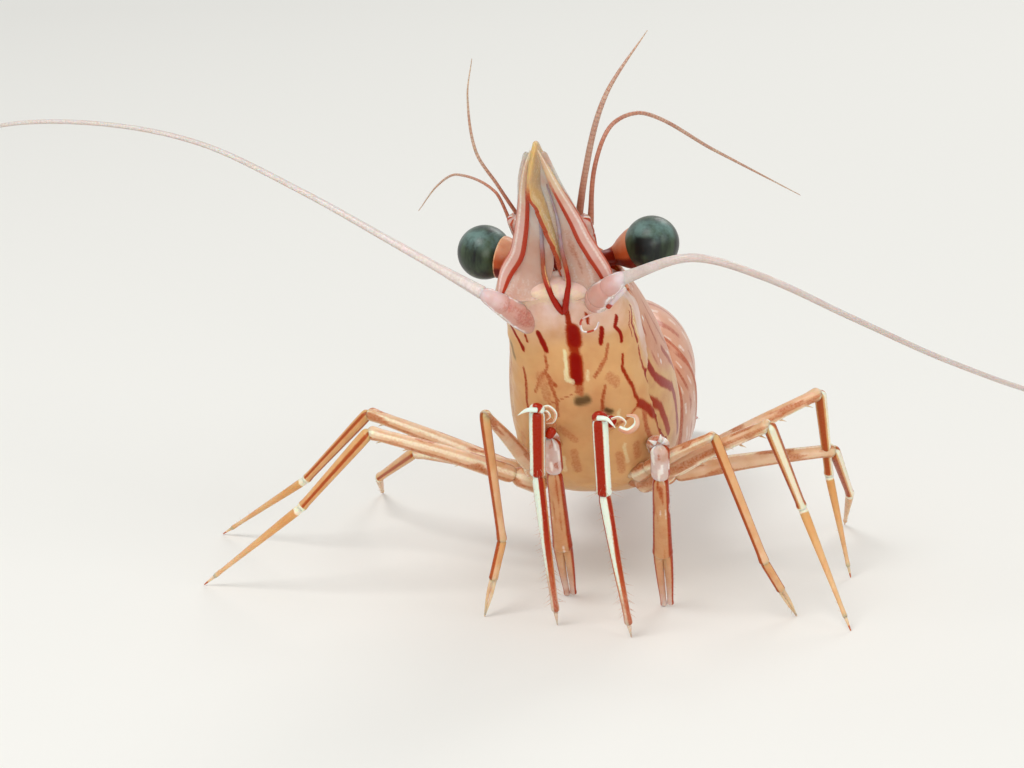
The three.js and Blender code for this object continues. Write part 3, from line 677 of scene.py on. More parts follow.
pupil = add(tree, "Mix", {0: shares["Red"], 6: blue.outputs[2], 7: linear("030a0a")}, data_type="RGBA")
net = add(tree, "MapRange", {"Value": lenses.outputs["Distance"], "From Max": 0.25})
dimple = add(tree, "Bump", {"Height": net.outputs[0], "Strength": 0.18, "Distance": 0.01 * MM})
glass = add(tree, "BsdfPrincipled", {
    "Base Color": pupil.outputs[2],
    "Roughness": 0.34,
    "IOR": 1.38,
    "Coat Weight": 0.1,
    "Coat Roughness": 0.2,
    "Normal": dimple.outputs[0],
})
add(tree, "OutputMaterial", {"Surface": glass.outputs[0]})

# Orange-red shell, peach above and dark red below, with a faint wet gloss.
stalk_shell = chitin(
    "orange_red_stalk_shell",
    base="b8562c", second="dfa27e", deep="a84420", red="6c1608", white="f2c89c",
    glow=0.35, rough=0.3, fray=0.2, coat=0.1,
)

for name, eye in EYES.items():
    middle = on_body(*eye["middle"])
    looks = facing(*eye["looks"])
    side = eye["side"]
    # The ball, with a painted sheen of the sky above and the dark square in front.
    bm = bmesh.new()
    paint = bm.verts.layers.float_color.new("paint")
    bmesh.ops.create_uvsphere(bm, u_segments=96, v_segments=64, radius=CORNEA)
    for vert in bm.verts:
        way = vert.co.normalized()
        sheen = step(0.1, 0.6, way.z) * (1 - 0.6 * step(0.8, 0.97, way.z)) * step(-0.4, 0.4, -way.y)
        spot = way - Vector((-0.14, -0.97, 0.06))
        square = 1 - step(0.26, 0.42, max(abs(spot.x), abs(spot.z)))
        square *= way.y < 0 and side > 0
        vert[paint] = (square, sheen, 0, 0)
    bmesh.ops.translate(bm, vec=middle, verts=bm.verts)
    make_piece(bm, "eye_" + name, cornea_glass, ("eye_" + name,))
    # The stalk widens to a cup whose rim laps a little over the ball.
    stem = on_body(side * 1.5, 0.35, -0.6)
    points = [
        on_body(side * 0.5, 0.7, -0.8),
        stem,
        (middle - looks * 2.1).lerp(stem, 0.3),
        middle + looks * (eye["rim"] + 0.12),
    ]
    rim = eye["cup"]
    cup = through((0, 0.5), (0.35, 0.46), (0.55, 0.5), (0.72, 0.72 * rim), (0.88, 0.95 * rim), (1, rim))

    def stalk_paint(share, turn, run):
        # Peach on top of the cup, dark red below it and round the neck, and a pale rim.
        above = 0.5 + 0.5 * math.cos(math.radians(turn - 5))
        peach = 0.9 * step(0.5, 0.85, above) * step(0.5, 0.68, share)
        dark = max(step(0.64, 0.46, share), step(0.5, 0.26, above) * step(0.3, 0.5, share))
        return dark * 0.85, 0.45 * band(0.955, 0.012, 0.02, share), peach

    bm = bmesh.new()
    roll(bm, points, oval(cup, cup), 96, 140, Vector((0, side, 0)), stalk_paint, blunt=0.15)
    make_piece(bm, "eyestalk_" + name, stalk_shell, ("eyestalk_" + name,))

# ---- Antennules ---------------------------------------------------------------------------
# Each first feeler has a three-jointed stem of clear pinkish shell beside the beak. It ends in
# two whips of short rings, a thick red-brown one that stands up and a thin one turned out.
# Pink-brown shell, glossy, with red and white lines along it.
stem_shell = chitin(
    "clear_pink_stem_shell",
    base="c88a74", second="c9a89c", deep="b87058", red="a43a22", white="f0e0d8",
    glow=0.5, rough=0.25, thin="bc6a4a",
)
# Glossy red-brown with darker rings, paler towards the end.
whip_shell = chitin(
    "red_brown_ringed_whip",
    base="b0745c", second="c4ab98", deep="9a604c", red="8c4c38", white="e0d0c0",
    glow=0.3, ring=0.24, ring_ink=0.35,
)
ANTENNULES = {
    "right": {
        "side": -1,
        "stem": [(-1.0, 1.4, -1.9), (-1.3, -1.2, -1.5), (-1.6, -3.6, -1.1), (-1.75, -5.3, -0.95)],
        "upper": [(-2.6, -5.6, 24.4), (-3.5, -6.6, 26.3), (-3.7, -7.5, 29.2), (-3.4, -7.8, 31.2)],
        "outer": [(-3.0, -4.4, 23.8), (-5.5, -2, 24.1), (-6.9, -0.5, 23.2), (-8.6, 2, 21.2)],
    },
    "left": {
        "side": 1,
        "stem": [(1.0, 1.4, -1.9), (1.3, -1.2, -1.5), (1.55, -3.6, -1.15), (1.6, -5.2, -1.0)],
        "upper": [(1.9, -5.4, 25.1), (2.6, -6.1, 28), (3.3, -6, 29.8), (4.9, -4.6, 32.4)],
        "outer": [
            (2.2, -4.3, 25.3), (2.9, -3.4, 27.3), (4.3, -1.5, 27.6), (7.2, 3, 25), (11.2, 9, 21.5),
        ],
    },
}


def jointed(girths, joints, dip=0.12):
    """Half thickness along a stem that narrows a little at each of its joints."""
    smooth = through(*girths)

    def girth(share):
        waist = max([0] + [band(joint, 0.004, 0.02, share) for joint in joints])
        return smooth(share) * (1 - dip * waist)
    return girth


for name, feeler in ANTENNULES.items():
    side = feeler["side"]
    stem = [on_body(*place) for place in feeler["stem"]]
    girth = jointed([(0, 0.75), (0.5, 0.66), (1, 0.52)], [0.52, 0.78])

    def stem_paint(share, turn, run):
        edge = max(band(90, 9, 12, abs(turn)), band(150, 5, 8, turn * side))
        return edge, 0.8 * band(70, 6, 8, abs(turn)), step(0.2, 0.8, share)

    bm = bmesh.new()
    stem_section = oval(girth, lambda share: girth(share) * 0.85)
    roll(bm, stem, stem_section, 32, 70, facing(1, 0, 0), stem_paint, blunt=0.3)
    make_piece(bm, "antennule_stem_" + name, stem_shell, ("antennule_stem_" + name,))
    upper_thick, outer_thick = (0.11, 0.09) if side < 0 else (0.2, 0.13)
    for whip, out, thick in (("upper", -0.3, upper_thick), ("outer", 0.36, outer_thick)):
        start = stem[-1] + facing(side, 0, 0) * out + facing(0, 0.4, 0)
        taper = through((0, thick * 1.4), (0.08, thick), (0.6, thick * 0.7), (1, 0.02))

        def whip_paint(share, turn, run):
            return 0, 0, step(0.1, 0.6, share)

        bm = bmesh.new()
        roll(bm, [start] + feeler[whip], oval(taper, taper), 12, 160, Vector((1, 0.1, 0.3)), whip_paint,
             blunt=0.1, ease=0)
        full = "antennule_" + whip + "_" + name
        make_piece(bm, full, whip_shell, (full,))

# ---- Antennae -----------------------------------------------------------------------------
# Each second feeler has a stout stem of soft clear shell and a very long pale whip. Above the
# stem stands a stiff leaf, the scale: a thick outer rib that ends in a tooth, and a clear
# inner blade fringed with hairs.
# A half-clear sheet with soft pink-brown and white streaks, through which the beak shows.
scale_blade = chitin(
    "clear_scale_blade",
    base="e2b8a6", second="d2ccc4", deep="d89c88", red="c07a5c", white="f4e6dc",
    glow=0.35, rough=0.35, clear=0.68, coat=0.1, fray=0.3,
)
# Firm pink horn: a pale band between two red lines.
scale_rib = chitin(
    "pink_scale_rib",
    base="dcb0a4", second="dcc29c", deep="cf9484", red="b03a22", white="f4e4dc",
    glow=0.4, rough=0.28, coat=0.15, fray=0.2, thin="c4745e",
)
# A thin edge, lilac-grey towards the tip and dark red where it crosses the face, with a short
#  painted gold highlight on one side.
scale_margin = chitin(
    "red_scale_margin",
    base="a4563a", second="a29aa4", deep="96462e", red="9c1c0a", white="f0c890",
    glow=0.35, rough=0.28, fray=0.2, coat=0.15, thin="b85230",
)
# Rose flesh under clear lilac-white skin, the wettest gloss on the animal.
soft_stem = chitin(
    "soft_rose_stem",
    base="dcaa9c", second="e8d6d8", deep="d09484", red="ae3c28", white="faf2f0",
    glow=0.5, rough=0.2, coat=0.4, fray=0.3, thin="c4705c", clear=0.88,
)
# Off-white with faint rings, which lets light sink in.
pale_whip = chitin(
    "pale_ringed_whip",
    base="d2c6c0", second="c6bfba", deep="bcaea6", red="b09c94", white="f2eeea",
    glow=0.5, ring=0.24, ring_ink=0.1, fray=0.2,
)
# Fine pale hair that catches the light.
bristle = chitin(
    "clear_bristle",
    base="d8c8b4", second="d8c8b4", deep="c8b090", red="a06040", white="ffffff",
    glow=0.2, rough=0.35,
)
ANTENNAE = {
    "right": {
        "side": -1,
        "stem": [(-1.7, 0.9, -4.0), (-2.1, -0.6, -4.3), (-2.8, -2.2, -4.4), (-3.7, -3.4, -4.25)],
        "scale": [
            (-1.7, -1.75, -4.05), (-1.72, -2.5, -3.15), (-1.45, -3.5, -2.55), (-0.96, -5.6, -1.85),
            (-0.7, -7.4, -1.3), (-0.55, -9, -0.8), (-0.3, -10.6, -0.2),
        ],
        "wide": (1.8, 1.36, 0.9, 0.73, 0.58, 0.42, 0.12),
        "inner": (1.1, 1.3, 1.36, 0.91, 0.69, 0.53, 0.12),
        "margin": [
            (-0.1, -9.2, -0.72), (-0.12, -7.4, -1.25), (-0.28, -5.6, -1.85), (-0.5, -3.6, -2.5),
            (-0.55, -2.7, -2.95), (-0.32, -2.1, -3.6), (0.02, -1.35, -4.12), (0.3, -0.85, -4.34),
        ],
        "whip": [
            (-3.53, -5.5, 18.8), (-8, -4.5, 20.7), (-13.9, -2.5, 23), (-20.1, 0, 24.8),
            (-26.8, 3, 25.1), (-34, 6.5, 24.1), (-41, 12, 21), (-46, 20, 16.5), (-48, 28, 12),
        ],
    },
    "left": {
        "side": 1,
        "stem": [(1.95, -0.4, -3.35), (2.05, -1.3, -3.7), (2.6, -2.6, -3.95), (4.0, -4.2, -3.8)],
        "scale": [
            (1.75, -1.7, -4.05), (1.7, -2.55, -3.05), (1.43, -4.3, -2.3), (1.28, -6, -1.75),
            (1.08, -7.2, -1.35), (0.87, -8.4, -1.0), (0.6, -10.6, -0.2),
        ],
        "wide": (1.65, 1.32, 0.9, 0.66, 0.52, 0.4, 0.14),
        "inner": (1.1, 1.25, 1.25, 1.09, 0.88, 0.7, 0.14),
        "margin": [
            (0.45, -8.6, -0.9), (0.6, -7.2, -1.35), (0.66, -6, -1.75), (0.6, -4.3, -2.35),
            (0.66, -3.0, -2.85), (0.7, -2.4, -3.3), (0.58, -1.9, -3.8), (0.42, -1.3, -4.14),
            (0.3, -0.85, -4.34),
        ],
        "whip": [
            (4.28, -5.5, 20), (7.4, -5.8, 21.1), (10.9, -5.2, 20.2), (15.3, -3.2, 17.8), (20.2, 0, 14.9),
            (25.5, 3.8, 12.3), (33, 10, 10), (40, 18, 8.6), (46, 28, 7.5), (48, 36, 6.8),
        ],
    },
}
RIB_WIDE = 0.85
BLADE_LIFT = 0.47  # how much the inner half of a blade turns up


def along_line(points, values):
    """A value given at each of a line's points, as a smooth function of the share along it."""
    runs = [0]
    for a, b in zip(points, points[1:]):
        runs.append(runs[-1] + (b - a).length)
    return through(*[(run / runs[-1], value) for run, value in zip(runs, values)])


def spike(bm, root, towards, long, thick, sides=6, paint_as=(0, 0, 0, 0)):
    """A thin cone: a spine, or a bristle when it has few sides."""
    paint = bm.verts.layers.float_color.get("paint") or bm.verts.layers.float_color.new("paint")
    made = bmesh.ops.create_cone(
        bm, cap_ends=True, segments=sides, radius1=thick, radius2=thick * 0.12, depth=long,
        matrix=Matrix.Translation(root + towards.normalized() * long / 2)
        @ towards.to_track_quat("Z", "Y").to_matrix().to_4x4(),
    )
    for vert in made["verts"]:
        vert[paint] = paint_as


def stripes(lines, second, cuts=()):
    """Paint for a tube: lines are (pigment, middle, half, soft) in degrees round it, and cuts are
    (share, half, pigment) rings."""
    def paint(share, turn, run):
        red = white = 0
        for pigment, middle, half, soft in lines:
            away = abs((turn - middle + 180) % 360 - 180)
            amount = 1 - step(half, half + soft, away)
            if pigment == "red":
                red = max(red, amount)
            else:
                white = max(white, amount)
        for where, half, pigment in cuts:
            amount = band(where, half, half * 0.6, share)
            if pigment == "red":
                red, white = max(red, amount), white * (1 - amount)
            else:
                red, white = red * (1 - amount), max(white, amount)
        red *= 1 - white
        return red, white, second(share)
    return paint


for name, feeler in ANTENNAE.items():
    side = feeler["side"]
    across = facing(side, 0, 0.35)
    scale = [on_body(*place) for place in feeler["scale"]]
    scale_wide = along_line(scale, feeler["wide"])
    scale_inner = along_line(scale, feeler["inner"])
    line, length = rod_line(scale)

    # The clear blade, thin and hollow below, runs in from the rib until it meets the beak.
    def blade_section(share, turn):
        place = math.sin(turn)
        reach = place * (scale_wide(share) if place > 0 else scale_inner(share))
        hollow = side * (0.12 * (1 - place * place) + BLADE_LIFT * max(0, -reach))
        return reach, hollow + math.cos(turn) * (0.05 + 0.04 * step(0, 1, place))

    def blade_paint(share, turn, run):
        # Long soft streaks of pink-brown and white, greyer towards the tip, and a faint painted highlight
        # near its root.
        place = math.sin(math.radians(turn))
        streak = wobble(Vector((place * 3.2, run * 0.16, side)), 1.0, 4)
        brown = 0.55 * step(0.1, 0.45, streak) * (1 - step(0.3, 0.6, share))
        white = max(0.5 * step(0.1, 0.45, -streak), 0.26 * step(0.24, 0.08, share))
        return brown * step(0.08, 0.2, share), white, step(0.25, 0.7, share)

    bm = bmesh.new()
    roll(bm, scale, blade_section, 40, 80, across, blade_paint, blunt=0.2)
    make_piece(bm, "antennal_scale_" + name, scale_blade, ("antennal_scale_" + name,))

    # The rib along its outer edge: a white band between two red lines, sharp at its end.
    outer = []
    for k in range(9):
        share = k / 8
        run = length * share
        towards = heading(line, length, run)
        out = square_to(towards, across)
        outer.append(line(run) + out * (scale_wide(share) - RIB_WIDE / 2 + 0.04) + towards * 0.25 * share)
    rib_wide = through(
        (0, 0.1), (0.16, RIB_WIDE * 0.46), (0.5, RIB_WIDE * 0.44), (0.75, 0.26), (0.9, 0.14), (1, 0.02),
    )
    rib_high = through((0, 0.1), (0.1, 0.13), (0.85, 0.1), (1, 0.02))

    def rib_paint(share, turn, run):
        place = math.sin(math.radians(turn))
        edge = max(0.75 * band(0.98, 0.1, 0.1, place), band(-0.8, 0.26, 0.2, place))
        fade = 1 - 0.7 * step(0.6, 0.9, share)
        return edge * fade, 0.55 * band(0.4, 0.12, 0.18, place), step(0.5, 0.9, share)

    bm = bmesh.new()
    roll(bm, outer, oval(rib_wide, rib_high), 36, 90, across, rib_paint, blunt=0.15)
    make_piece(bm, "scale_rib_" + name, scale_rib)

    # The blade's inner edge, drawn down over the front of the head to meet its fellow.
    margin = [on_body(*place) for place in feeler["margin"]]
    edge_thick = through((0, 0.04), (0.3, 0.09), (0.65, 0.12), (0.84, 0.15), (0.95, 0.17), (1, 0.12))

    def margin_paint(share, turn, run):
        # The short gold band on one side of the edge is a painted highlight.
        gold = 0.7 * band(side * -60, 14, 12, turn) * band(0.74, 0.05, 0.05, share)
        reddens = (0.68, 0.82) if side < 0 else (0.6, 0.72)
        return step(*reddens, share), gold, 1 - step(0.42, 0.66, share)

    bm = bmesh.new()
    roll(bm, margin, oval(edge_thick, edge_thick), 14, 120, facing(1, 0, 0), margin_paint, blunt=0.1, ease=0)
    make_piece(bm, "scale_margin_" + name, scale_margin)

    # The fringe of hairs round the blade's inner edge and end.
    bm = bmesh.new()
    for k in range(46):
        share = 0.3 + 0.68 * k / 45
        run = length * share
        towards = heading(line, length, run)
        inward = -square_to(towards, across)
        way = inward * (1 - 0.6 * share) + towards * (0.5 + share)
        lift = facing(0, 0, BLADE_LIFT) * scale_inner(share)
        spike(bm, line(run) + inward * (scale_inner(share) - 0.03) + lift, way, 0.5, 0.012, sides=3)
    make_piece(bm, "scale_fringe_" + name, bristle)

    # The stem, three joints long, blunt and clear at its root.
    stem = [on_body(*place) for place in feeler["stem"]]
    girth = jointed([(0, 0.66), (0.3, 0.68), (0.7, 0.54), (1, 0.34)], [0.38, 0.66], 0.1)

    def soft_paint(share, turn, run):
        # A rosy core shines through, with clear lilac-white edges, two painted white highlights along it, red
        # flecks and a dark spot.
        ahead = (turn + (149 if side < 0 else 40) + 180) % 360 - 180
        spots = band(0.06, 0.025, 0.02, share) * band(-30, 12, 8, ahead)
        spots += band(0.13, 0.025, 0.02, share) * band(-5, 12, 8, ahead)
        rims = 0.8 * band(0.06, 0.06, 0.02, share) * band(-30, 26, 8, ahead)
        spots *= side < 0
        specks = wobble(Vector((turn * 0.03, run * 1.5, side)), 0.8, 6)
        fleck = 0.5 * step(0.48, 0.56, specks) * step(0.6, 0.3, share)
        waves = 0.06 * math.sin(run * 4) + 0.05 * wobble(Vector((turn * 0.02, run, side)), 0.6)
        middle = 0.5 + 0.5 * math.cos(math.radians(ahead)) + waves
        core = 0.5 * step(0.8, 0.99, middle) * band(0.45, 0.15, 0.3, share)
        white = 0.9 * max(band(0.66, 0.03, 0.05, middle), 0.8 * band(0.5, 0.02, 0.03, middle))
        white = max(white * band(0.5, 0.38, 0.1, share), rims * (1 - spots) * (side < 0))
        clear_edge = max(step(0.85, 0.6, middle), step(0.6, 0.95, share))
        return max(min(1, spots), fleck, core if side < 0 else 0), white, clear_edge

    bm = bmesh.new()
    roll(bm, stem, oval(girth, girth), 40, 80, facing(0, 0, 1), soft_paint, blunt=0.6)
    # A small gilt lobe, white on one side with a painted highlight, stands on the outer side of the
    #  left stem, and a clear loop hangs below.
    if side > 0:
        lobe = through((0, 0.12), (0.3, 0.2), (0.7, 0.22), (1, 0.1))
        lobe_places = [on_body(2.75, -1.9, -4.55), on_body(3.1, -2.2, -4.1), on_body(3.75, -2.5, -3.65)]
        lobe_paint = stripes([("white", 60, 70, 30)], lambda share: 1, [(0.1, 0.08, "red")])
        roll(bm, lobe_places, oval(lobe, lobe), 16, 30, facing(0, 0, 1), lobe_paint, blunt=0.1)
        loop = through((0, 0.05), (0.5, 0.06), (1, 0.05))
        loop_places = [
            on_body(1.75, -0.9, -4.35), on_body(1.2, -0.8, -4.7), on_body(1.3, -0.5, -5.15),
            on_body(1.9, -0.4, -5.0), on_body(2.1, -0.5, -4.6),
        ]
        loop_cuts = [(0.3, 0.06, "red"), (0.7, 0.06, "red")]
        loop_paint = stripes([("white", 0, 30, 30)], lambda share: 1, loop_cuts)
        roll(bm, loop_places, oval(loop, loop), 12, 40, facing(0, 0, 1), loop_paint, blunt=0.06)
    make_piece(bm, "antenna_stem_" + name, soft_stem, ("antenna_stem_" + name,))

    # The whip, drawn as one length.
    taper = through((0, 0.36), (0.02, 0.3), (0.06, 0.22), (0.2, 0.16), (0.6, 0.11), (1, 0.04))
    whip = [stem[-1].lerp(stem[-2], 0.25)] + feeler["whip"][1:]

    def pale_paint(share, turn, run):
        return 0.3 * band(0, 25, 30, turn), 0.4 * band(180, 30, 40, abs(turn)), step(0.02, 0.2, share)

    bm = bmesh.new()
    roll(bm, whip, oval(taper, taper), 12, 420, Vector((0, 0.3, 1)), pale_paint, blunt=0.15, ease=0)
    lengths = ["antenna_whip_" + name + "_" + str(k) for k in (1, 2, 3)]
    make_piece(bm, "antenna_whip_" + name, pale_whip, lengths)

# ---- Third maxillipeds and legs -------------------------------------------------------------
# Five pairs of legs, and a pair of long mouth limbs in front of them. Each is a chain of stiff
# tubes on narrow hinges, striped red and white along its length, with fine hairs and spines.
# Orange shell under mint-white and dark red stripes, with a thin gloss.
limb_shell = chitin(
    "striped_limb_shell",
    base="cf8248", second="dcb49c", deep="b8602e", red="a02408", white="e6eedc",
    glow=0.3, rough=0.28, fray=0.2, thin="b8552c", coat=0.15,
)
# Clear shell from lilac-white to amber, which glows from inside between red streaks.
claw_shell = chitin(
    "clear_claw_shell",
    base="cf9862", second="dccac4", deep="bf7a4c", red="a2340e", white="f4ece4",
    glow=0.45, rough=0.28, fray=0.25, thin="b8602e", coat=0.2,
)
# A clear amber tube with red-brown blots inside it and thin dark edges.
rear_shell = chitin(
    "amber_limb_shell",
    base="d8a466", second="e4c4a4", deep="cc8c50", red="a84e20", white="f4e8cc",
    glow=0.5, rough=0.28, fray=0.25, thin="c07440", coat=0.2,
)


def bend(a, b, sag):
    """Three points from a to b, bowed a little by sag."""
    return [a, a.lerp(b, 0.5) + sag, b]


TUBE_LAP = 0.12
SOLE = 0.03  # how high above the floor the tip of a foot is drawn


def tube_part(bm, a, b, thick, across, paint, sag=Vector((0, 0, 0)), sides=20, rows=40, flat=0.88):
    """One stiff tube of a limb from a to b: narrow at its first hinge, swollen at its second."""
    near, end = thick
    wide = through(
        (0, near * 0.8), (0.06, near), (0.5, mix(near, end, 0.5)), (0.9, end), (0.97, end * 1.12), (1, end),
    )
    # Each tube laps a little into its neighbours, except where it ends at the floor.
    run = (b - a).normalized()
    far = b if b.z < 0.3 else b + run * TUBE_LAP
    section = oval(wide, lambda share: wide(share) * flat)
    roll(bm, bend(a - run * TUBE_LAP, far, sag), section, sides, rows, across, paint,
         blunt=max(end * 0.9, 0.1))


def hairs(bm, a, b, out, count, long, seed):
    """Fine hairs along a tube, leaning towards its end."""
    chance = random.Random(seed)
    run = (b - a).normalized()
    other = run.cross(out).normalized()
    for k in range(count):
        spin = chance.uniform(-0.6, 0.6)
        way = out * math.cos(spin) + other * math.sin(spin)
        root = a.lerp(b, 0.9 * (k + chance.uniform(0.1, 0.9)) / count) + way * 0.2
        leaning = way + run * chance.uniform(0.2, 0.9)
        spike(bm, root, leaning, long * chance.uniform(0.5, 1.1), 0.014, sides=3, paint_as=(0, 0, 0.5, 0))


# The mouth limbs: dark red in front between a wide mint-white stripe and a thin one.
MAXILLIPEDS = {
    "right": {
        "side": -1,
        "joints": [on_body(-1.5, 6.8, -7.4), (-0.55, -5.4, 12.4), (-0.6, -4.9, 8.9), (0.1, -3, SOLE)],
        # Glassy loops of the knee, each its half thickness and its points from the knee.
        "loops": [
            (0.09, [
                (0.15, 0.2, 0.22), (0.55, 0.25, 0.32), (0.92, 0.3, -0.05), (0.8, 0.3, -0.5),
                (0.4, 0.3, -0.62),
            ]),
            (0.07, [(0.2, 0.1, 0.05), (0.5, 0.12, 0.08), (0.64, 0.15, -0.18), (0.45, 0.15, -0.42)]),
        ],
        "bead": (0.62, 0.5, -1.15),
        "cap": "white",
        "upper": [("red", 12, 34, 10), ("white", -52, 26, 8), ("white", 72, 7, 6)],
        "lower": [("red", 34, 26, 12), ("white", -30, 32, 8), ("red", -84, 8, 10)],
        "slim": [("red", 24, 30, 12), ("white", -38, 20, 8), ("red", -84, 8, 10)],
    },
    "left": {
        "side": 1,
        "joints": [on_body(1.7, 6.4, -7.2), (2.85, -5.9, 12.3), (3.0, -5.3, 8.2), (4.3, -4.1, SOLE)],
        "loops": [
            (0.17, [
                (0.95, 0.1, -0.32), (1.45, 0.15, -0.48), (1.88, 0.2, -0.12), (1.8, 0.2, 0.3),
                (1.35, 0.15, 0.36),
            ]),
            (0.08, [(0.55, 0.15, 0.1), (0.95, 0.15, 0.22), (1.3, 0.15, 0.0), (1.2, 0.15, -0.28)]),
        ],
        "bead": (0.5, 0.5, -0.1),
        "cap": "red",
        "upper": [("red", 0, 38, 10), ("white", 52, 22, 8), ("white", -55, 7, 6), ("red", -78, 8, 8)],
        "lower": [("red", -64, 16, 10), ("white", -8, 32, 8), ("red", 58, 20, 12)],
        "slim": [("red", -60, 16, 10), ("white", -12, 20, 8), ("red", 50, 30, 12)],
    },
}
for name, limb in MAXILLIPEDS.items():
    side = limb["side"]
    root, knee, joint, tip = [Vector(place) for place in limb["joints"]]
    across = Vector((1, 0, 0))
    bm = bmesh.new()
    thigh_paint = stripes([("red", 0, 20, 12), ("white", 40, 12, 8)], lambda share: 0.3)
    tube_part(bm, root, knee, (0.5, 0.42), across, thigh_paint, rows=60)
    tube_part(bm, knee + Vector((0, 0, 0.15)), joint, (0.42, 0.42), across,
              stripes(limb["upper"], lambda share: 0.2), rows=50)
    lower = stripes(limb["lower"], lambda share: step(0.6, 1, share))
    slim_lower = stripes(limb["slim"], lambda share: step(0.6, 1, share))

    def fading(share, turn, run):
        # The red turns to orange towards the tip, and the white fades out.
        narrowing = step(0.1, 0.6, share)
        red, white, second = [
            mix(a, b, narrowing) for a, b in zip(lower(share, turn, run), slim_lower(share, turn, run))]
        return red * (1 - 0.4 * step(0.3, 0.8, share)), white * (1 - 0.6 * step(0.5, 0.85, share)), second

    tube_part(bm, joint, joint.lerp(tip, 0.9), (0.33, 0.2), across, fading, rows=70,
              sag=Vector((0, -0.15, 0)))
    spike(bm, joint.lerp(tip, 0.88), tip - joint, (tip - joint).length * 0.12, 0.17, sides=10,
          paint_as=(0, 0.4, 1, 0))
    # The knee: a cap, a hooked white spine on its outer side, and glassy loops behind it.
    cap = [knee + Vector(place) for place in ((-0.32, 0.05, 0.02), (0, -0.1, 0.3), (0.32, 0.05, 0.02))]
    cap_paint = stripes([(limb["cap"], 0, 70, 40)], lambda share: 0.6, [(0.55, 0.12, "red")])
    roll(bm, cap, oval(lambda share: 0.24, lambda share: 0.28), 20, 24, Vector((0, 1, 0)), cap_paint,
         blunt=0.25)
    hook = Vector((side, 0, 0))
    reach, drop = (0.95, -0.06) if side < 0 else (0.9, -0.2)
    hook_places = [
        knee + Vector((-side * 0.1, -0.3, 0.26)),
        knee + hook * 0.45 + Vector((0, -0.4, 0.24)),
        knee + hook * reach + Vector((0, -0.42, drop)),
    ]
    pointed = through((0, 0.14), (0.4, 0.12), (1, 0.015))
    all_white = stripes([("white", 0, 180, 10)], lambda share: 1)
    roll(bm, hook_places, oval(pointed, pointed), 12, 24, Vector((0, 1, 0)), all_white, blunt=0.04)
    for thick, places in limb["loops"]:
        slim = through((0, thick * 0.8), (0.5, thick), (1, thick * 0.35))
        roll(bm, [knee + Vector(place) for place in places], oval(slim, slim), 14, 40, Vector((0, 1, 0)),
             stripes([("white", 0, 50, 20), ("red", 150, 24, 16)], lambda share: 0.9), blunt=0.06)
    bead = knee + Vector(limb["bead"])
    roll(bm, [bead - Vector((0.2, 0, 0.3)), bead, bead + Vector((0.16, 0, 0.26))],
         oval(lambda share: 0.2, lambda share: 0.26), 20, 20, Vector((0, 1, 0)),
         stripes([("red", 0, 180, 10)], lambda share: 0), blunt=0.24)
    for out in ((-1, -0.2, 0), (1, -0.2, 0), (0, -1, 0)):
        hairs(bm, joint.lerp(tip, 0.05), joint.lerp(tip, 0.95), Vector(out), 26, 0.5, 3 + side)
        hairs(bm, knee.lerp(joint, 0.8), joint, Vector(out), 6, 0.8, 7 + side)
    make_piece(bm, "third_maxilliped_" + name, limb_shell, ("third_maxilliped_" + name,))

LEGS = {
    "leg_1_right": [on_body(-1.7, 7.6, -7.9), (-0.25, -3.2, 10.4), (-0.15, -0.9, 4.4), (-0.15, 2, SOLE)],
    "leg_1_left": [(4.3, 2.4, 8.8), (5.6, -3.5, 10.5), (5.3, -0.7, 4.4), (5.35, 1.3, SOLE)],
    "leg_2_right": [on_body(-2, 9.2, -8.2), (-3.75, -3.6, 11.7), (-3.1, -2.2, 4.3), (-4, -2.5, SOLE)],
    "leg_2_left": [on_body(2.2, 9.2, -8.2), (8.15, -1.5, 10.6), (10.85, -0.5, 3.45), (12.45, 1.1, SOLE)],
    "leg_3_right": [on_body(-2, 10.2, -8.3), (-10.4, -2.2, 9.9), (-14.3, -2, 5.35), (-20.4, -0.5, SOLE)],
    "leg_3_left": [on_body(2.3, 10.2, -8.3), (11.1, -2, 11.5), (12.6, 1, 6.2), (15.55, -0.7, SOLE)],
    "leg_4_right": [on_body(-2, 11.7, -7.7), (-12.3, 5, 8.9), (-16.3, 6, 4.45), (-22.1, 8.6, SOLE)],
    "leg_4_left": [on_body(2.3, 11.7, -7.7), (12.8, 6.5, 11.1), (13.2, 8.5, 5.85), (14.6, 8.2, SOLE)],
    "leg_5_right": [on_body(-1.8, 13, -6.7), (-10.6, 9, 5.6), (-13.8, 13, 2.7), (-15, 18.5, SOLE)],
    "leg_5_left": [on_body(2, 13, -6.7), (13.5, 8, 7.45), (14, 12.5, 3.6), (13.2, 18, SOLE)],
}
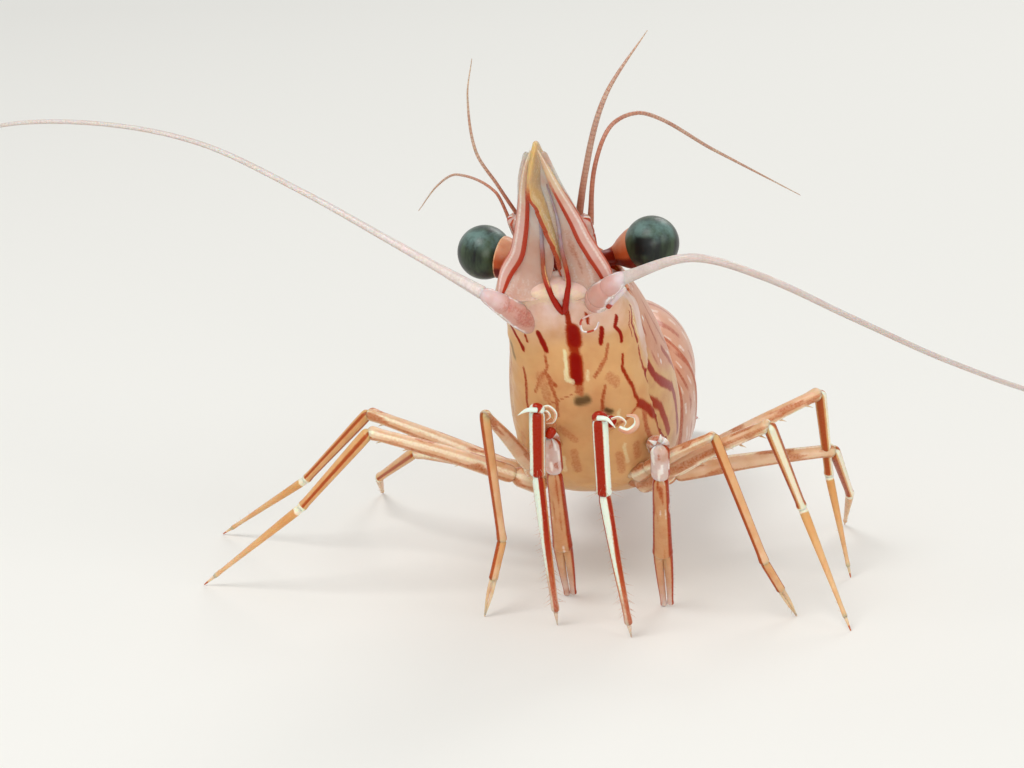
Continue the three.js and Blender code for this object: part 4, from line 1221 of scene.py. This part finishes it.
# Half thickness at the root, the knee, the second joint and the end.
LEG_THICK = {
    1: (0.55, 0.5, 0.5, 0.12),
    2: (0.5, 0.28, 0.25, 0.1),
    3: (0.6, 0.38, 0.27, 0.1),
    4: (0.6, 0.38, 0.27, 0.1),
    5: (0.6, 0.36, 0.26, 0.1),
}
for name, places in LEGS.items():
    number = int(name[4])
    side = -1 if name.endswith("right") else 1
    root, knee, joint, tip = [Vector(place) for place in places]
    if number > 1:
        root += body_frame.to_3x3() @ Vector((side * 0.6, 0.4, -0.6))
    at_root, at_knee, at_joint, at_tip = LEG_THICK[number]
    # Across the plane that the leg bends in, so that its front faces away from the body.
    across = (knee - root).cross(tip - knee).normalized()
    if across.y < 0:
        across = -across
    if number < 3:
        across = Vector((1, 0, 0))
    bm = bmesh.new()
    skin = claw_shell if number == 1 else rear_shell
    seed = number * 10 + side
    hip = root.lerp(knee, 0.16)
    # Red lines along two edges, and two thin white lines that are painted highlights.
    edges = stripes(
        [("red", 95, 10, 12), ("red", -85, 10, 12), ("white", 40, 8, 14), ("white", -140, 10, 14)],
        lambda share: 0.95,
    )

    def along(share, turn, run):
        # Amber blots float inside the clear upper tube, between red edge lines and two thin painted white
        # highlights.
        red, white, second = edges(share, turn, run)
        blot = step(0.12, 0.34, wobble(Vector((turn * 0.014, run * 0.5, seed)), 0.8))
        return max(0.6 * red, 0.62 * blot), 0.7 * white * (1 - blot), second

    if number > 1:
        socket = root + body_frame.to_3x3() @ Vector((-side * 1.3, -0.5, 2.2))
        tube_part(bm, socket, root, (at_root * 1.1, at_root * 1.15), across, along, rows=24)
    tube_part(bm, root, hip, (at_root * 1.15, at_root), across, along, rows=14)
    tube_part(bm, hip, knee, (at_root * 0.9, at_knee), across, along, rows=60, sag=Vector((0, 0, 0.1)))
    if number == 1:
        wrist = knee.lerp(joint, 0.33)
        palm = joint.lerp(tip, 0.22)
        thin_lines = stripes([("red", 82, 9, 10), ("red", -78, 9, 10)], lambda share: 1)
        edged = stripes([("red", 70, 22, 14), ("red", -64, 15, 12)], lambda share: 0.1)

        def pale(share, turn, run):
            # Lilac-white, with painted white glints and fine red streaks that run down it.
            red, white, second = thin_lines(share, turn, run)
            streak = wobble(Vector((turn * 0.03, run * 0.7, seed)), 0.7)
            return max(red, 0.6 * step(0.2, 0.42, streak)), 0.9 * step(0.15, 0.4, -streak), second

        def deep(share, turn, run):
            # Amber between red edges, clouded with orange, most at the top.
            red, white, second = edged(share, turn, run)
            streak = wobble(Vector((turn * 0.025, run * 0.45, seed + 3)), 0.7)
            orange = (0.75 - 0.35 * share) * step(0.0, 0.4, streak)
            return max(red, orange), 0.5 * step(0.3, 0.5, -streak), second

        tube_part(bm, knee, wrist, (at_knee, at_knee * 1.05), across, pale, rows=30)
        tube_part(bm, wrist, palm, (at_knee * 0.85, at_joint * 1.08), across, deep, rows=60)
        for spread, reach in ((-0.25, 1.0), (0.25, 0.97)):
            start = palm + across * spread - (palm - wrist).normalized() * 0.3
            end = tip + across * spread * 0.72 + (palm - tip) * (1 - reach)
            outside = 80 if spread > 0 else -80
            outer_edge = stripes([("red", outside, 34, 20)], lambda share: 0.1 + 0.9 * share**2)
            tube_part(bm, start, end, (0.28, 0.17), across, outer_edge, rows=36, sag=across * spread * 0.12)
        for way in ((0.1, -0.3, 1.0), (-0.9, -0.4, 0.5)):
            spike(bm, knee + Vector(way) * 0.25, Vector(way), 0.42, 0.14, sides=8, paint_as=(0, 0.5, 1, 0))
        hairs(bm, wrist, tip, Vector((0, -1, 0)), 30, 0.4, seed)
        hairs(bm, wrist, tip, Vector((side, -0.3, 0)), 30, 0.4, seed + 1)
    elif number == 2:
        palm = joint.lerp(tip, 0.5)
        thin = stripes([("red", -50, 34, 20), ("red", 95, 8, 10)], lambda share: 0.15 + 0.6 * share)
        tube_part(bm, knee, joint, (at_knee, at_joint), across, thin, rows=60)
        tube_part(bm, joint, palm, (at_joint, at_joint), across, thin, rows=24)
        for spread, reach in ((-0.08, 1.0), (0.08, 0.96)):
            end = tip + (palm - tip) * (1 - reach)
            plain = stripes([], lambda share: 1)
            tube_part(bm, palm + across * spread, end, (0.12, 0.05), across, plain, rows=24,
                      sag=across * spread * 0.7)
        hairs(bm, joint, tip, Vector((0, -1, 0)), 12, 0.3, seed)
    else:
        claw = joint.lerp(tip, 0.88)
        if side < 0:
            bands = [("red", 0, 34, 16), ("white", 75, 18, 10), ("red", -120, 16, 12)]
        else:
            bands = [("red", -112, 28, 14), ("white", -38, 18, 10), ("red", 20, 16, 12)]
        banded = stripes(bands, lambda share: 0.1 + 0.2 * share, [(0.975, 0.02, "white")])
        # The thin white line down one side of the lower tube is a painted highlight.
        amber = stripes([("white", 70, 10, 10)], lambda share: 0.7 * share**1.5, [(0.0, 0.05, "white")])
        tube_part(bm, knee, joint, (at_knee, at_joint * 1.05), across, banded, rows=50)
        tube_part(bm, joint, claw, (at_joint, at_tip * 1.3), across, amber, rows=60)
        red_point = stripes([], lambda share: 1, [(1, 0.25, "red")])
        tube_part(bm, claw, tip, (at_tip * 1.15, 0.04), across, red_point, rows=20)
        # Small spines under the long tube before the knee, and under the last one.
        under = (knee - hip).cross(across).normalized()
        if under.z > 0:
            under = -under
        for k in range(4):
            spine_root = hip.lerp(knee, 0.35 + 0.18 * k) + under * at_knee * 0.8
            way = under + (knee - hip).normalized()
            spike(bm, spine_root, way, 0.4, 0.07, paint_as=(0.2, 0, 1, 0))
        for k in range(9):
            spine_root = joint.lerp(claw, 0.15 + 0.09 * k) + under * at_tip * 1.4
            way = under + (claw - joint).normalized() * 1.5
            spike(bm, spine_root, way, 0.22, 0.03, sides=4, paint_as=(0, 0, 1, 0))
        hairs(bm, joint, tip, -under, 10, 0.25, seed)
    make_piece(bm, name, skin, (name,))

# ---- Abdomen ------------------------------------------------------------------------------
# Six hoods of pink shell over the tail's muscle, humped at the third. Each laps over the next,
# and its two flaps hang down at the sides. Red lines run across it, with white dots between.
# Pink shell with soft red lines and white dots, and light deep inside it.
abdomen_shell = chitin(
    "red_lined_abdomen_shell",
    base="d49a7c", second="dcae98", deep="c47c5a", red="9c2a12", white="f4e6da",
    glow=0.4, fray=0.2, thin="b8603c",
)
spine_line, SPINE_LONG = rod_line([
    (0.3, 9.2, 9.3), (0.3, 10.8, 8.3), (0.3, 13.6, 7.9), (0.2, 17, 8.8),
    (0, 20.5, 8.2), (-0.4, 23.6, 6.2), (-0.9, 26.2, 4.4), (-1.9, 30.4, 3.1)])
hood_half = through((0, 2.6), (1.4, 2.9), (5, 4.25), (9, 4.1), (13, 3.1), (16.5, 2.4), (19, 1.9), (24, 1.45))
hood_high = through((0, 1.9), (1.4, 2.4), (5, 4.3), (9, 4.4), (13, 3.3), (16.5, 2.5), (19, 1.9), (24, 1.3))
hood_deep = through((0, 1.9), (1.4, 2.4), (5, 4.2), (9, 3.7), (13, 2.9), (16.5, 2.3), (19, 1.6), (24, 1.2))
# Where each hood starts and ends along the line, and how far its flaps spread.
SEGMENTS = {
    "abdomen_1": (0, 4.0, 0), "abdomen_2": (3.0, 6.6, 0.9), "abdomen_3": (5.4, 11.2, 0.3),
    "abdomen_4": (10, 14.2, 0.4), "abdomen_5": (13, 17, 0.3), "abdomen_6": (16, SPINE_LONG, 0),
}


def hood_point(turn, place, flare):
    run = (spine_line(min(place + 0.1, SPINE_LONG)) - spine_line(max(place - 0.1, 0))).normalized()
    across = (Vector((1, 0, 0)) - run * run.x).normalized()
    rise = across.cross(run)
    low = max(0, -math.cos(turn))
    width = math.copysign(abs(math.sin(turn)) ** (0.45 if low > 0 else 1), math.sin(turn))
    above = hood_high(place) * math.cos(turn)
    below = -1.5 * hood_deep(place) * low * (1 - 0.5 * low**4)
    height = below if low > 0 else above
    return spine_line(place) + (across * width * hood_half(place) + rise * height) * flare


for name, (first, last, flap) in SEGMENTS.items():
    def hood_place(s, t):
        turn = (2 * s - 1) * math.pi
        along = min(max((t - 0.08) / 0.84, 0), 1)
        reach = min(1, t / 0.08, (1 - t) / 0.08)
        spread = flap * max(0, -math.cos(turn)) * (2 * along - 1)
        place = min(mix(first, last, along) + spread, SPINE_LONG)
        flare = 0.955 + 0.045 * along + 0.012 * step(0.9, 0.98, along)
        spot = hood_point(turn, place, flare)
        spot = spine_line(min(max(place, 0), SPINE_LONG)).lerp(spot, reach ** 0.5)
        lines = place / 1.15 + 0.25 * math.sin(turn * 3 + place) + 0.15 * wobble(spot, 1.6)
        phase = lines % 1
        red = 0.62 * band(0.5, 0.09, 0.09, phase) * step(-0.4, -0.1, wobble(spot, 1.3, 5))
        white = 0.5 * band(0, 0.05, 0.08, min(phase, 1 - phase)) * step(0.45, 0.8, abs(math.sin(turn * 11)))
        rim = band(0.955, 0.02, 0.02, along)
        return spot, (max(red, 0.6 * rim), white * (1 - rim), step(0.4, -0.8, math.cos(turn)), 0)

    bm = bmesh.new()
    spread_grid(bm, 120, 60, hood_place)
    make_piece(bm, name, abdomen_shell, (name,))

# ---- Tail fan -------------------------------------------------------------------------------
# A pointed middle plate between two pairs of leaf-shaped limbs, thin clear shell with ribs,
# red patches and a fringe of hairs.
# Thin pale shell with red patches, and light deep inside it.
fan_shell = chitin(
    "clear_tail_shell",
    base="dcb4a2", second="e6cfc6", deep="c98c72", red="a82c18", white="f6efe8",
    glow=0.5,
)
FAN_ROOT = Vector((-1.7, 29.6, 3.2))
FAN_TURN = -0.2  # radians that the fan points to the animal's right
FAN = {
    "telson": (0, 0, 6.2, (0.9, 1.15, 0.9, 0.65, 0.25)),
    "uropod_inner_right": (-0.9, -0.28, 6.0, (0.4, 0.75, 0.95, 0.85, 0.35)),
    "uropod_inner_left": (0.9, 0.28, 6.0, (0.4, 0.75, 0.95, 0.85, 0.35)),
    "uropod_outer_right": (-1.5, -0.48, 6.2, (0.4, 0.8, 1.0, 0.95, 0.4)),
    "uropod_outer_left": (1.5, 0.48, 6.2, (0.4, 0.8, 1.0, 0.95, 0.4)),
}
for name, (left, angle, long, widths) in FAN.items():
    run = Vector((math.sin(FAN_TURN + angle), math.cos(FAN_TURN + angle), -0.26)).normalized()
    root = FAN_ROOT + Vector((left, 0, -abs(left) * 0.35))
    wide = through(*[(k / 4, width) for k, width in enumerate(widths)])
    across = (Vector((1, 0, 0)) - run * run.x).normalized()

    def leaf_section(share, turn):
        place = math.sin(turn)
        outside = 0.85 if left > 0 else -0.85
        rib = 0.1 * band(0, 0.08, 0.12, place) + 0.07 * band(outside, 0.08, 0.1, place)
        return place * wide(share), math.cos(turn) * (0.09 + rib) - 0.05 * place * place

    def leaf_paint(share, turn, run):
        place = math.sin(math.radians(turn))
        patches = band(0.8, 0.05, 0.05, share), 0.9 * band(0.35, 0.04, 0.05, share)
        red = max(band(0, 0.05, 0.06, place), *patches)
        return red, band(0.72, 0.02, 0.02, share), abs(place)

    bm = bmesh.new()
    middle_line = [root, root + run * long / 2, root + run * long]
    roll(bm, middle_line, leaf_section, 48, 60, across, leaf_paint, blunt=0.35)
    for k in range(44):
        share = 0.45 + 0.55 * (k // 2) / 21
        edge = across * (1 if k % 2 else -1)
        way = edge * (1 - share) * 1.2 + run
        out = edge * wide(share) * 0.9 * (1 - step(0.97, 1, share))
        hair_root = root + run * long * share * 0.985 + out
        spike(bm, hair_root, way, 0.45, 0.014, sides=3, paint_as=(0, 0, 1, 0))
    make_piece(bm, name, fan_shell, (name,))

# ---- Swimmerets -----------------------------------------------------------------------------
# Five pairs of paddles under the abdomen. Each has a short stem and two thin leaves fringed
# with hairs, and they hang at rest, swept back.
# Thin orange-pink skin, with the most light inside it of all the coverings.
paddle_skin = chitin(
    "clear_paddle_skin",
    base="dca07c", second="ecc8ae", deep="cc8258", red="b04020", white="f6ead8",
    glow=0.55,
)
PADDLE_PLACES = (2.6, 5.2, 8.6, 12.2, 15.2)  # along the abdomen's middle line
for k, place in enumerate(PADDLE_PLACES):
    for name, side in (("right", -1), ("left", 1)):
        root = spine_line(place) + Vector((side * 0.4 * hood_half(place), 0, -1.2))
        long = 3.6 - 0.2 * k
        points = [root + Vector((0, 0.5 * long * share**1.5, -long * share)) for share in (0, 0.4, 0.7, 1)]
        wide = through((0, 0.36), (0.35, 0.42), (0.5, 0.4), (0.75, 0.6), (0.95, 0.35), (1, 0.12))
        high = through((0, 0.32), (0.35, 0.28), (0.5, 0.12), (1, 0.06))

        def paddle_paint(share, turn, run):
            red = band(0, 14, 10, turn) * (1 - step(0.3, 0.6, share)) + 0.6 * band(0.42, 0.02, 0.02, share)
            return red, 0, step(0.2, 0.8, share)

        bm = bmesh.new()
        roll(bm, points, oval(wide, high), 24, 40, Vector((1, 0, 0)), paddle_paint, blunt=0.25)
        inner = [point + Vector((-side * 0.42, 0.3, 0.05)) for point in points[1:]]
        slim = through((0, 0.15), (0.5, 0.36), (1, 0.1))
        roll(bm, inner, oval(slim, lambda share: 0.07), 20, 24, Vector((1, 0, 0)), paddle_paint, blunt=0.2)
        line, length = rod_line(points)
        for n in range(22):
            share = 0.55 + 0.44 * (n // 2) / 10
            edge = Vector((1 if n % 2 else -1, 0, 0))
            down = (line(length) - line(length * 0.8)).normalized()
            hair_root = line(length * share) + edge * wide(share) * 0.9
            way = edge * (1 - share) * 2 + down
            spike(bm, hair_root, way, 0.4, 0.014, sides=3, paint_as=(0, 0, 1, 0))
        full = "swimmeret_" + str(k + 1) + "_" + name
        make_piece(bm, full, paddle_skin, (full,))
